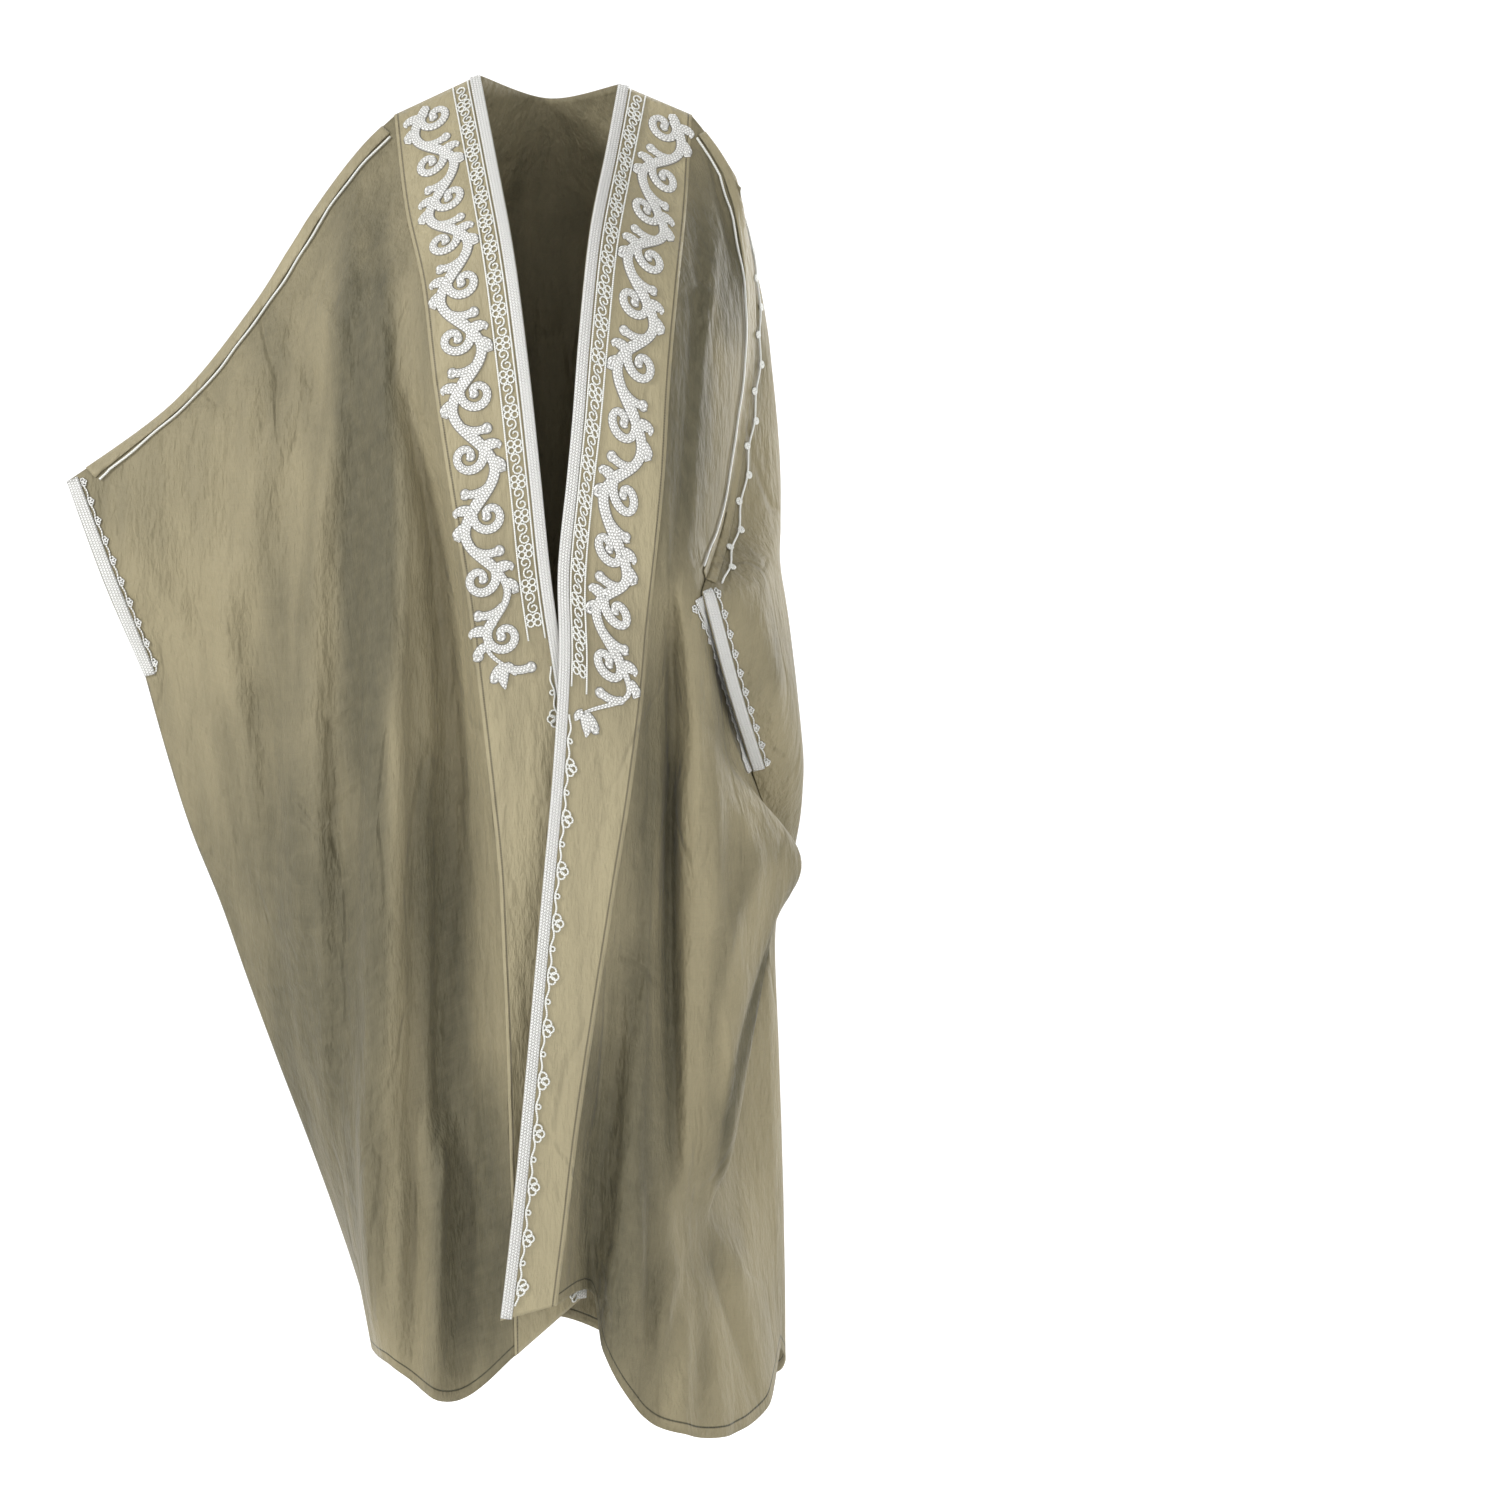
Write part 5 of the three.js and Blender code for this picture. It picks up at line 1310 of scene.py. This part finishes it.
@dataclass
class Cloak:
    """The cloth: two fronts and a back, sewn along the shoulders, sleeves and sides."""

    cloth: bpy.types.Material
    panels: dict[str, Panel] = field(default_factory=dict)
    flats: dict[str, tuple[float, float, float]] = field(default_factory=lambda: {
        "front_right": (0.66, 1.46, 0.62),
        "front_left": (0.62, 1.50, 0.58),
        "back": (1.30, 1.48, 1.25),
    })

    def draw(self) -> None:
        """Draws the three panels and sews their edges together."""
        self.panels["front_right"] = Panel(
            [front_row(s) for s in RIGHT_SECTIONS], RIGHT_STATIONS, RIGHT_STEPS,
            turn=1, facing=-1, corners={6: RIGHT_CUFF}, turns=(1,), flat=BAND_STEPS,
            folds=folds_of(RIGHT_FOLDS, True), creases=folds_of(RIGHT_CREASES, False), seed=3.0,
        )
        self.panels["front_left"] = Panel(
            [front_row(s) for s in LEFT_SECTIONS], LEFT_STATIONS, LEFT_STEPS,
            turn=-1, facing=-1, corners={8: LEFT_CUFF}, turns=(1,), flat=BAND_STEPS,
            folds=folds_of(LEFT_FOLDS, True), creases=folds_of(LEFT_CREASES, False), seed=11.0,
        )
        self.panels["back"] = Panel(
            [back_row(s) for s in BACK_SECTIONS], BACK_STATIONS, BACK_STEPS,
            turn=1, facing=1, corners={0: RIGHT_CUFF, 9: LEFT_CUFF}, turns=(2, 3, 5, 6),
            folds=folds_of(BACK_FOLDS, True), creases=folds_of(BACK_CREASES, False), seed=23.0,
        )
        self.sew_top("front_right", "neck_right", 0)
        self.sew_top("front_left", "neck_left", self.panels["back"].last_column)
        back = self.panels["back"]
        back.normals = grid_normals(back.grid, back.turn)
        self.mitre()

    def sew_top(self, front_name: str, neck: str, side: int) -> None:
        """Puts the back's top edge onto a front's shoulder line.

        Args:
            front_name: Name of the front.
            neck: The back's station at the neck.
            side: The back's column at that side's end.
        """
        front, back = self.panels[front_name], self.panels["back"]
        line = front.grid[0]
        runs = runs_of(line)
        start, end = back.column(neck) * COLUMN_FINE, side * COLUMN_FINE
        columns = np.arange(start, end + (1 if end > start else -1), 1 if end > start else -1)
        shares = runs_of(back.grid[0, columns])
        at = shares / shares[-1] * runs[-1]
        for axis in range(3):
            back.grid[0, columns, axis] = np.interp(at, runs, line[:, axis])

    def mitre(self) -> None:
        """Notes for each panel how its inner face meets its neighbour's at the seams."""
        for panel in self.panels.values():
            panel.inward = -panel.normals * CLOTH
        back = self.panels["back"]
        for name, side in (("front_right", 0), ("front_left", -1)):
            front = self.panels[name]
            both = unit(front.normals[:, -1] + back.normals[:, side] + 1e-4)
            for panel, column in ((front, -1), (back, side)):
                panel.inward[:, column] = -both * CLOTH

    def tone(self, panel: Panel) -> np.ndarray:
        """How light each point of a panel's cloth is, with painted shade and painted light laid
        on.

        Args:
            panel: The panel.

        Returns:
            A tone for each point, 1 at most.
        """
        x, z = panel.grid[..., 0], panel.grid[..., 2]
        level = np.full(x.shape, CLOTH_TONE)
        # Painted shade, on the fronts only; then painted light, on every panel
        if panel.facing < 0:
            for crease in folds_of(PAINTED_SHADE, False):
                level -= crease.pull(x, z)
        for crease in folds_of(PAINTED_LIGHT, False):
            level += crease.pull(x, z)
        return np.clip(level, 0.02, 1.0)

    def build(self) -> None:
        """Makes the three pieces of cloth."""
        for name, panel in self.panels.items():
            grid = panel.grid
            along, across = measured(grid, 0), measured(grid, 1)
            mesh = Mesh()
            mesh.shell(
                grid, grid + panel.inward, np.stack([across, along], axis=2),
                panel.turn > 0, tone=self.tone(panel), hem=(along[-1] - along) * MM,
            )
            piece = mesh.make(f"{name}_cloth", self.cloth)
            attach(piece, "root")
            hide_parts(name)
            size = sum(p.area for p in piece.data.polygons) / 2
            log.info("%s: %d faces, %.3f m2", piece.name, len(piece.data.polygons), size)


def dress(mesh: Mesh, name: str, material: bpy.types.Material, slot: str, *nodes: str
          ) -> bpy.types.Object:
    """Makes a trim's object, which rides with the cloth.

    Args:
        mesh: Its gathered mesh.
        name: Its name.
        material: Its material.
        slot: Not used.
        nodes: The solids it stands for.

    Returns:
        The object.
    """
    piece = mesh.make(name, material)
    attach(piece, "root")
    if nodes:
        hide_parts(*nodes)
    log.info("%s: %d faces", name, len(piece.data.polygons))
    return piece


@dataclass
class FrontTrim:
    """The facing of one front and all that is worked on it."""

    side: str
    panel: Panel
    facing: bpy.types.Material
    chain: bpy.types.Material
    stroke_shadow: bpy.types.Material
    braid: bpy.types.Material
    twist: bpy.types.Material
    flat: tuple[float, float] = (0.105, 1.44)

    def __post_init__(self) -> None:
        """Measures the front edge."""
        self.lay = FrontLay(self.panel)
        self.scroll_end = SCROLL_START + WAVES[self.side] * WAVE_PITCH

    def build(self) -> None:
        """Makes the facing, braid, lace, scrollwork and edging."""
        trims = [self.edge_braid(), self.lace(), *self.scroll(), self.edging()]
        facing = self.facing_strip()

    @property
    def panel_name(self) -> str:
        """The name of the front it is sewn to."""
        return f"front_{self.side}"

    def facing_strip(self) -> bpy.types.Object:
        """The satin facing, from the neck to the hem.

        Returns:
            The facing.
        """
        panel = self.panel
        columns = np.arange(BAND_STEPS * COLUMN_FINE + 1) / COLUMN_FINE
        rows = np.arange(panel.grid.shape[0]) / ROW_FINE
        row_at, column_at = np.meshgrid(rows, columns, indexing="ij")
        outer, _ = panel.lay(row_at, column_at, FACING_LIFT + FACING)
        inner, _ = panel.lay(row_at, column_at, FACING_LIFT)
        along = np.repeat(self.lay.runs[:, None], len(columns), axis=1)
        across = columns[None, :] / BAND_STEPS * self.lay.widths[:, None]
        mesh = Mesh()
        darker, place, spread = FACING_DARK
        tone = FACING_TONE - darker * np.exp(-((along - place) / spread) ** 2)
        mesh.shell(outer, inner, np.stack([across, along], axis=2), panel.turn > 0,
                   tone=tone, hem=(self.lay.widths[:, None] - across) * MM)
        return dress(mesh, f"facing_{self.side}", self.facing, "facing",
                     f"front_band_{self.side}")

    def edge_braid(self) -> bpy.types.Object:
        """The flat braid along the whole edge.

        Returns:
            The braid.
        """
        mesh = Mesh()
        EDGE_TAPE.work(mesh, self.lay, straight(EDGE_BRAID_CENTRE, 0.5, self.lay.length - 0.5, 7))
        return dress(mesh, f"braid_{self.side}", self.braid, "thread", f"edge_braid_{self.side}")

    def lace(self) -> bpy.types.Object:
        """The lace band: curls and rings between two cords.

        Returns:
            The lace band.
        """
        mesh = Mesh()
        end = self.scroll_end - LACE_SHORT
        for line in LACE_LINES:
            LACE_CORD.work(mesh, self.lay, straight(line, 1, end, 8))
        radii = (CURL_RADIUS, CURL_EYE)
        for at in np.arange(LACE_START, end - LACE_PITCH, LACE_PITCH):
            low = arc((LACE_CENTRE + CURL_SHIFT, at), radii, 100, 420, 22)[::-1]
            high = arc((LACE_CENTRE - CURL_SHIFT, at + CURL_STEP), radii, -80, 420, 22)
            LACE_CORD.work(mesh, self.lay, np.concatenate([low, high]))
            for across, along in LACE_RINGS:
                ring = arc((LACE_CENTRE + across, at + along), (RING_RADIUS,) * 2, 0, 360, 12)
                LACE_CORD.work(mesh, self.lay, ring)
        return dress(mesh, f"lace_{self.side}", self.twist, "thread", f"lace_band_{self.side}")

    def stem_across(self, along: np.ndarray | float) -> np.ndarray | float:
        """The stem's place across the facing.

        Args:
            along: Distances along the front.

        Returns:
            How far across the facing it is there.
        """
        turned = np.clip((along - self.scroll_end) / END_TURN + 1, 0, 1) ** 2
        wave = STEM_SWING * np.sin(math.tau * (along - SCROLL_START) / WAVE_PITCH)
        return SCROLL_CENTRE + wave - END_SHIFT * turned

    def stroke(self, pads: Mesh, shadows: Mesh, line: np.ndarray, width: float,
               share: Callable[[np.ndarray], np.ndarray]) -> None:
        """Works one stroke of the scroll with a thin dark rim under it, a painted shadow round the
        stroke.

        Args:
            pads: The mesh of the padded strokes.
            shadows: The mesh of the painted shadow round the strokes.
            line: The stroke's middle, across and along.
            width: Its greatest width.
            share: The share of that width at each part of its length.
        """
        line = line.copy()
        below = np.clip((line[:, 1] - self.scroll_end + LACE_SHORT) / LACE_SHORT, 0, 1)
        low = SCROLL_LOW + width * 0.3 - END_SHIFT * below
        line[:, 0] = np.clip(line[:, 0], low, SCROLL_HIGH - width * 0.2)
        pad = Thread(SCROLL_PAD.section, width / 2, SCROLL_PAD.height, SCROLL_PAD.lift)
        shadow = Thread(pad.section, width / 2 + 0.9, SCROLL_SHADOW.height, SCROLL_SHADOW.lift)
        pad.work(pads, self.lay, line, share)
        shadow.work(shadows, self.lay, line, share)

    def scroll(self) -> list[bpy.types.Object]:
        """The raised scrollwork: a waving stem with spirals and leaves.

        Returns:
            The padded strokes and the painted shadow round them.
        """
        pads, shadows = Mesh(), Mesh()
        waves = WAVES[self.side]
        length = waves * WAVE_PITCH
        along = np.linspace(SCROLL_START, self.scroll_end, round(length / 4))
        stem = np.stack([self.stem_across(along), along], axis=1)
        self.stroke(pads, shadows, stem, STEM_WIDTH,
                    lambda t: np.clip(3.4 * (1 - t) + 0.3, 0, 1) * rounded(t, 0.008))
        for half in range(round(waves * 2)):
            base = SCROLL_START + half * 0.5 * WAVE_PITCH
            hand = 1 if half % 2 == 0 else -1
            self.coil(pads, shadows, base + COIL.along * WAVE_PITCH, hand)
            for sprig in SPRIGS:
                self.sprig(pads, shadows, base + sprig.along * WAVE_PITCH, hand, sprig)
        for sprig in END_SPRIGS:
            self.sprig(pads, shadows, self.scroll_end - 3, 1, sprig)
        return [
            dress(pads, f"scroll_{self.side}_pads", self.chain, "thread", f"scroll_{self.side}"),
            dress(shadows, f"scroll_{self.side}_outline", self.stroke_shadow, "thread"),
        ]

    def coil(self, pads: Mesh, shadows: Mesh, root: float, hand: int) -> None:
        """A spiral that leaves the stem, with a round eye.

        Args:
            pads: The mesh of the padded strokes.
            shadows: The mesh of the painted shadow round the strokes.
            root: Where along the front it leaves the stem.
            hand: The side it turns to, 1 or -1.
        """
        if root < 0 or root + COIL.radius > self.scroll_end:
            return
        heading = math.radians(COIL.heading)
        t = np.linspace(0, 1, 46)
        angle = heading + math.pi + math.tau * COIL.turns * t
        radius = COIL.radius + (COIL.boss - COIL.radius) * t**COIL.ease
        away = COIL.radius * math.cos(heading) + radius * np.cos(angle)
        x = self.stem_across(root) + hand * away
        y = root + COIL.radius * math.sin(heading) + radius * np.sin(angle)
        self.stroke(pads, shadows, np.stack([x, y], axis=1), COIL.width,
                    lambda part: (1 - 0.25 * part) * rounded(part, 0.03))
        self.ball(pads, shadows, (float(x[-1]), float(y[-1])), COIL.width * 1.15)

    def sprig(self, pads: Mesh, shadows: Mesh, root: float, hand: int, sprig: Sprig) -> None:
        """A leaf, or a stalk that ends in a ball.

        Args:
            pads: The mesh of the padded strokes.
            shadows: The mesh of the painted shadow round the strokes.
            root: Where along the front it leaves the stem.
            hand: The side it turns to, 1 or -1.
            sprig: Its shape.
        """
        if root > self.scroll_end:
            return
        t = np.linspace(0, 1, 16)
        angle = np.radians(sprig.angle + sprig.bend * t)
        step = sprig.length / (len(t) - 1)
        x = self.stem_across(root) + hand * np.cumsum(np.cos(angle)) * step
        y = root + np.cumsum(np.sin(angle)) * step
        line = np.stack([x, y], axis=1)
        if sprig.ball:
            self.stroke(pads, shadows, line, sprig.width, lambda part: rounded(part, 0.1))
            self.ball(pads, shadows, (float(x[-1]), float(y[-1])), sprig.ball)
        else:
            self.stroke(pads, shadows, line, sprig.width,
                        lambda part: np.sin(math.pi * (0.32 + 0.66 * part)) ** 0.8)

    def ball(self, pads: Mesh, shadows: Mesh, centre: tuple[float, float], width: float) -> None:
        """A round knob, worked as a tight coil of chain stitch."""
        line = arc(centre, (width * 0.24, 0.3), 0, 560, 18)
        self.stroke(pads, shadows, line, width * 0.52, lambda part: rounded(part, 0.08))

    def edging(self) -> bpy.types.Object:
        """The couched cord beside the braid, below the scroll: trefoils, rings and waves.

        Returns:
            The edging.
        """
        mesh = Mesh()
        start, end = self.scroll_end + 6, self.lay.length - 12
        step = EDGING_PITCH / 2
        at = start
        while at < end:
            line = swung(EDGING_BASE, EDGING_SWING, at, min(end, at + step), 14)
            FINE_EDGE.work(mesh, self.lay, line)
            if at > start and round((at - start) / step) % 2 == 0:
                trefoil(mesh, FINE_EDGE, self.lay, EDGING_BASE + 1.6, at, EDGING_LEAF)
            elif at > start:
                ring = arc((EDGING_BASE + EDGING_SWING, at), (EDGING_RING,) * 2, 0, 360, 12)
                FINE_EDGE.work(mesh, self.lay, ring)
            at += step
        return dress(mesh, f"edging_{self.side}", self.twist, "thread")


def swung(base: float, swing: float, start: float, stop: float, steps: int) -> np.ndarray:
    """A line that bows away from its base between two bends."""
    t = np.linspace(0, 1, steps)
    return np.stack([base + swing * np.sin(math.pi * t) ** 2, start + (stop - start) * t], axis=1)


def trefoil(mesh: Mesh, thread: Thread, lay: Lay, across: float, along: float, radius: float
            ) -> None:
    """Three loops of cord that point away from the edge.

    Args:
        mesh: The mesh it is added to.
        thread: The cord of its loops.
        lay: What it lies on.
        across: How far in from the edge it is.
        along: How far along it is.
        radius: The radius of a loop.
    """
    for turn in (-62, 0, 62):
        lean = math.radians(turn)
        centre = (across + radius * 1.5 * math.cos(lean), along + radius * 1.5 * math.sin(lean))
        loop = arc(centre, (radius, radius), turn + 180, 360, 14)
        loop[:, 0] = centre[0] + (loop[:, 0] - centre[0]) * 1.05
        thread.work(mesh, lay, loop)


@dataclass
class SleeveTrim:
    """The strip over one shoulder and down the sleeve, its cords, and the cuff's braid."""

    side: str
    front: Panel
    back: Panel
    strip: bpy.types.Material
    braid: bpy.types.Material
    twist: bpy.types.Material
    neck: str
    side_column: int
    cuff: tuple[int, int]
    reach_front: float
    reach_rear: float
    cord_front: float
    cord_rear: float

    def paths(self) -> tuple[list[tuple[float, float]], list[tuple[float, float]]]:
        """The seam's places on the front and on the back, from the facing to the cuff.

        Returns:
            Rows and columns on the front, and on the back.
        """
        rows = np.arange(0, self.cuff[0] * ROW_STEPS - STRIP_END, 0.1)
        columns = np.arange(STRIP_START, self.front.last_column, 0.25)
        front = [(0.0, float(c)) for c in columns]
        front += [(float(r), float(self.front.last_column)) for r in rows]
        line = self.front.grid[0]
        runs = runs_of(line)
        shares = np.interp(columns * COLUMN_FINE, np.arange(len(line)), runs) / runs[-1]
        inner, outer = self.back.column(self.neck), self.side_column
        span = np.arange(inner, outer + np.sign(outer - inner) * 0.1, np.sign(outer - inner) * 0.1)
        points, _ = self.back.lay(np.zeros(len(span)), span)
        back_runs = runs_of(points)
        places = np.interp(shares * back_runs[-1], back_runs, span)
        rear = [(0.0, float(c)) for c in places] + [(float(r), float(outer)) for r in rows]
        edge, _ = self.front.lay(*np.array(front).T)
        clear = np.linalg.norm(edge - line[-1], axis=1) > CORNER_CLEAR
        return (
            [place for place, kept in zip(front, clear) if kept],
            [place for place, kept in zip(rear, clear) if kept],
        )

    def build(self) -> None:
        """Makes the strip, the two cords and the cuff's two braids."""
        front_path, rear_path = self.paths()
        front_lay = Lay(self.front, front_path, SEAM_REACH)
        rear_lay = Lay(self.back, rear_path, SEAM_REACH)
        self.strip_piece(front_lay, rear_lay)
        self.cord(front_lay, self.cord_front, "front", False)
        self.cord(rear_lay, self.cord_rear, "rear", True)
        self.cuff_braids()

    def strip_piece(self, front_lay: Lay, rear_lay: Lay) -> None:
        """The strip of facing cloth over the seam.

        Args:
            front_lay: The seam, measured over the front.
            rear_lay: The seam, measured over the back.
        """
        stops = np.linspace(0, 1, STRIP_STOPS)
        fronts = np.linspace(self.reach_front, SEAM_CLEAR, 5)
        rears = np.linspace(SEAM_CLEAR, self.reach_rear, 4)
        layers = [
            np.stack([
                lay.lay(np.full(STRIP_STOPS, a), stops * lay.length, lift)[0]
                for lay, aways in ((front_lay, fronts), (rear_lay, rears)) for a in aways
            ], axis=1)
            for lift in (STRIP_LIFT + STRIP, STRIP_LIFT)
        ]
        across = np.concatenate([-fronts, rears]) + self.reach_front
        edge = np.minimum(across, across[-1] - across)
        along_at, across_at = np.meshgrid(stops * front_lay.length, across, indexing="ij")
        places = np.stack([across_at, along_at], axis=2)
        mesh = Mesh()
        mesh.shell(*layers, places, self.front.turn > 0,
                   tone=np.full(places.shape[:2], STRIP_TONE),
                   hem=np.broadcast_to(edge * MM + 0.02, places.shape[:2]))
        piece = dress(mesh, f"strip_{self.side}", self.strip, "facing",
                      f"sleeve_strip_{self.side}")

    def cord(self, lay: Lay, across: float, where: str, knotted: bool) -> None:
        """One cord along the strip, plain, or waving with a round knot at each bend.

        Args:
            lay: The seam, measured over one panel.
            across: How far from the seam the cord runs.
            where: Which cord it is, front or rear.
            knotted: Whether it has knots.
        """
        mesh = Mesh()
        swing = KNOTTED_SWING if knotted else PLAIN_SWING
        turn = math.tau / (KNOT_PITCH * 2)
        along = np.linspace(3, lay.length - 3, round(lay.length / 3))
        line = np.stack([across + swing * np.sin(turn * along), along], axis=1)
        SLEEVE_CORD.work(mesh, lay, line)
        if knotted:
            for at in np.arange(KNOT_PITCH / 2, lay.length - 6, KNOT_PITCH):
                bend = across + swing * math.sin(turn * at)
                centre = (bend + KNOT_SHIFT * np.sign(bend - across), at)
                for radius in KNOT_RADII:
                    SLEEVE_CORD.work(mesh, lay, arc(centre, (radius, radius), 0, 360, 14))
        dress(mesh, f"cord_{where}_{self.side}", self.twist, "thread",
              f"sleeve_cord_{where}_{self.side}")

    def cuff_braids(self) -> None:
        """The braid round the cuff, in a front and a rear half, with loops beside it."""
        rows = np.arange(self.cuff[0] * ROW_STEPS, self.cuff[1] * ROW_STEPS + 0.01, 0.125)
        for where, panel, column in (("front", self.front, self.front.last_column),
                                     ("rear", self.back, self.side_column)):
            lay = Lay(panel, [(float(r), float(column)) for r in rows], SEAM_REACH)
            mesh = Mesh()
            CUFF_TAPE.work(mesh, lay, straight(CUFF_CENTRE, 1.0, lay.length - 1.0, 5))
            for at in np.arange(9.0, lay.length - 8, CUFF_PITCH):
                stop = min(lay.length - 3, at + CUFF_PITCH)
                FINE_CORD.work(mesh, lay, swung(CUFF_BASE, CUFF_SWING, at, stop, 12))
                trefoil(mesh, FINE_CORD, lay, CUFF_BASE + 0.4, at, CUFF_LEAF)
            dress(mesh, f"cuff_{where}_{self.side}", self.braid, "thread",
                  f"cuff_braid_{where}_{self.side}")


def neck_braid(back: Panel, braid: bpy.types.Material) -> None:
    """Makes the braid round the back of the neck.

    Args:
        back: The back panel.
        braid: What it is made of.
    """
    columns = np.linspace(back.column("neck_right") + 0.05, back.column("neck_left") - 0.05, 60)
    lay = Lay(back, [(0.0, float(c)) for c in columns], range(0, 22, 2))
    mesh = Mesh()
    NECK_TAPE.work(mesh, lay, straight(NECK_CENTRE, 0.2, lay.length - 0.2, 5))
    dress(mesh, "braid_neck", braid, "thread", "edge_braid_neck")


@dataclass
class Studio:
    """The plain room: floor, light and camera."""

    distance: float = 3.8
    axis_x: float = -0.121
    axis_z: float = -0.717
    scale: float = 0.00107
    image: int = 1500
    axis_pixel: float = 437.0
    floor_z: float = -1.78
    wall_y: float = 6.5
    wall_height: float = 7.0
    bend: float = 1.6

    def build(self) -> None:
        """Builds the floor, the lights and the camera."""
        self.room()
        self.lights()
        self.camera()

    def room(self) -> None:
        """A pale floor that curves up far behind the cloak and far before it."""
        mesh = Mesh()
        start = self.wall_y - self.bend
        rear = [(start + self.bend * math.sin(a), self.bend * (1 - math.cos(a)))
                for a in np.linspace(0, math.pi / 2, 13)]
        rear.append((self.wall_y, self.wall_height))
        profile = [(-y, z) for y, z in reversed(rear)] + rear
        xs = np.linspace(-self.wall_y, self.wall_y, 3)
        grid = np.array([[(x, y, self.floor_z + z) for x in xs] for y, z in profile]) / MM
        rows, columns = grid.shape[:2]
        index = np.arange(rows * columns).reshape(rows, columns)
        faces = np.stack([index[:-1, :-1], index[:-1, 1:], index[1:, 1:], index[1:, :-1]], axis=-1)
        mesh.add(grid.reshape(-1, 3), grid.reshape(-1, 3)[:, :2], faces.reshape(-1, 4))
        room = mesh.make("room", PlainFinish("pale_room", (0.86, 0.86, 0.86), 0.9, 0.34).make())

    def lights(self) -> None:
        """Soft lights: a key from the upper left, a fill and a top light."""
        world = bpy.data.worlds.new("studio")
        world.use_nodes = True
        world.node_tree.nodes["Background"].inputs[0].default_value = (1.0, 1.0, 1.0, 1.0)
        world.node_tree.nodes["Background"].inputs[1].default_value = 0.66
        bpy.context.scene.world = world
        bpy.context.scene.view_settings.view_transform = "Standard"
        for name, place, size, power in (
            ("key", (-3.2, -1.7, 0.9), 0.8, 95.0),
            ("fill", (2.6, -3.0, 0.0), 2.2, 20.0),
            ("top", (0.2, 1.6, 1.6), 1.6, 40.0),
            ("rear", (3.0, 2.0, 0.4), 0.9, 60.0),
        ):
            data = bpy.data.lights.new(name, "AREA")
            data.size = size
            data.energy = power
            light = bpy.data.objects.new(name, data)
            light.location = place
            aim = Vector((-0.1, 0.0, -0.7)) - Vector(place)
            light.rotation_euler = aim.to_track_quat("-Z", "Y").to_euler()
            bpy.context.collection.objects.link(light)

    def camera(self) -> None:
        """A long lens straight in front, turned so that the cloak stands to the left."""
        data = bpy.data.cameras.new("camera")
        data.sensor_width = 36.0
        data.lens = data.sensor_width * self.distance / (self.image * self.scale)
        camera = bpy.data.objects.new("camera", data)
        camera.location = (self.axis_x, -self.distance, self.axis_z)
        side = (self.image / 2 - self.axis_pixel) * self.scale
        turn = math.atan2(side, self.distance)
        camera.rotation_euler = (math.pi / 2, 0.0, -turn)
        bpy.context.collection.objects.link(camera)
        bpy.context.scene.camera = camera


def main() -> None:
    """Builds the cloak, its trims and the studio."""
    logging.basicConfig(level=logging.INFO, format="%(name)s: %(message)s")
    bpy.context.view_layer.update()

    cloth = ClothFinish("khaki_cloth", (0.262, 0.226, 0.136), (0.042, 0.04, 0.022),
                        roughness=0.62, sheen=0.08).make()
    satin = ClothFinish("facing_satin", (0.345, 0.3, 0.185), (0.14, 0.12, 0.072), roughness=0.46,
                        sheen=0.12, thread=0.0009, slub=0.7, crush=0.6, hem=0.004).make()
    white = (0.95, 0.95, 0.92)
    chain = ThreadFinish("chain_stitch", white, (0.46, 0.45, 0.41), row=0.0026, link=0.0036,
                         lean=0.6, depth=0.0014, strength=1.0).make()
    # The painted shadow round the scroll's strokes, dressed in a dark thread finish
    stroke_shadow = ThreadFinish("painted_stroke_shadow", (0.22, 0.21, 0.18), (0.1, 0.095, 0.08), row=0.001,
                           link=0.002, lean=0.5, depth=0.0003).make()
    braid = ThreadFinish("plaited_braid", white, (0.40, 0.39, 0.35), row=0.0030, link=0.0031,
                         lean=0.8, depth=0.0014, strength=1.0).make()
    twist = ThreadFinish("twisted_cord", (0.82, 0.83, 0.79), (0.38, 0.37, 0.33), row=0.004,
                         link=0.0022, lean=0.9, depth=0.0004).make()

    cloak = Cloak(cloth)
    cloak.draw()
    cloak.build()
    for side in ("right", "left"):
        FrontTrim(side, cloak.panels[f"front_{side}"], satin, chain, stroke_shadow, braid, twist).build()
    back = cloak.panels["back"]
    for side, column, cuff, reaches, cords in (
        ("right", 0, RIGHT_CUFF, (16, 5), (21, 11)),
        ("left", back.last_column, LEFT_CUFF, (11, 11), (16, 18)),
    ):
        SleeveTrim(side, cloak.panels[f"front_{side}"], back, satin, braid, twist, f"neck_{side}",
                   column, cuff, *reaches, *cords).build()
    neck_braid(back, braid)
    Studio().build()


if __name__ == "__main__":
    main()
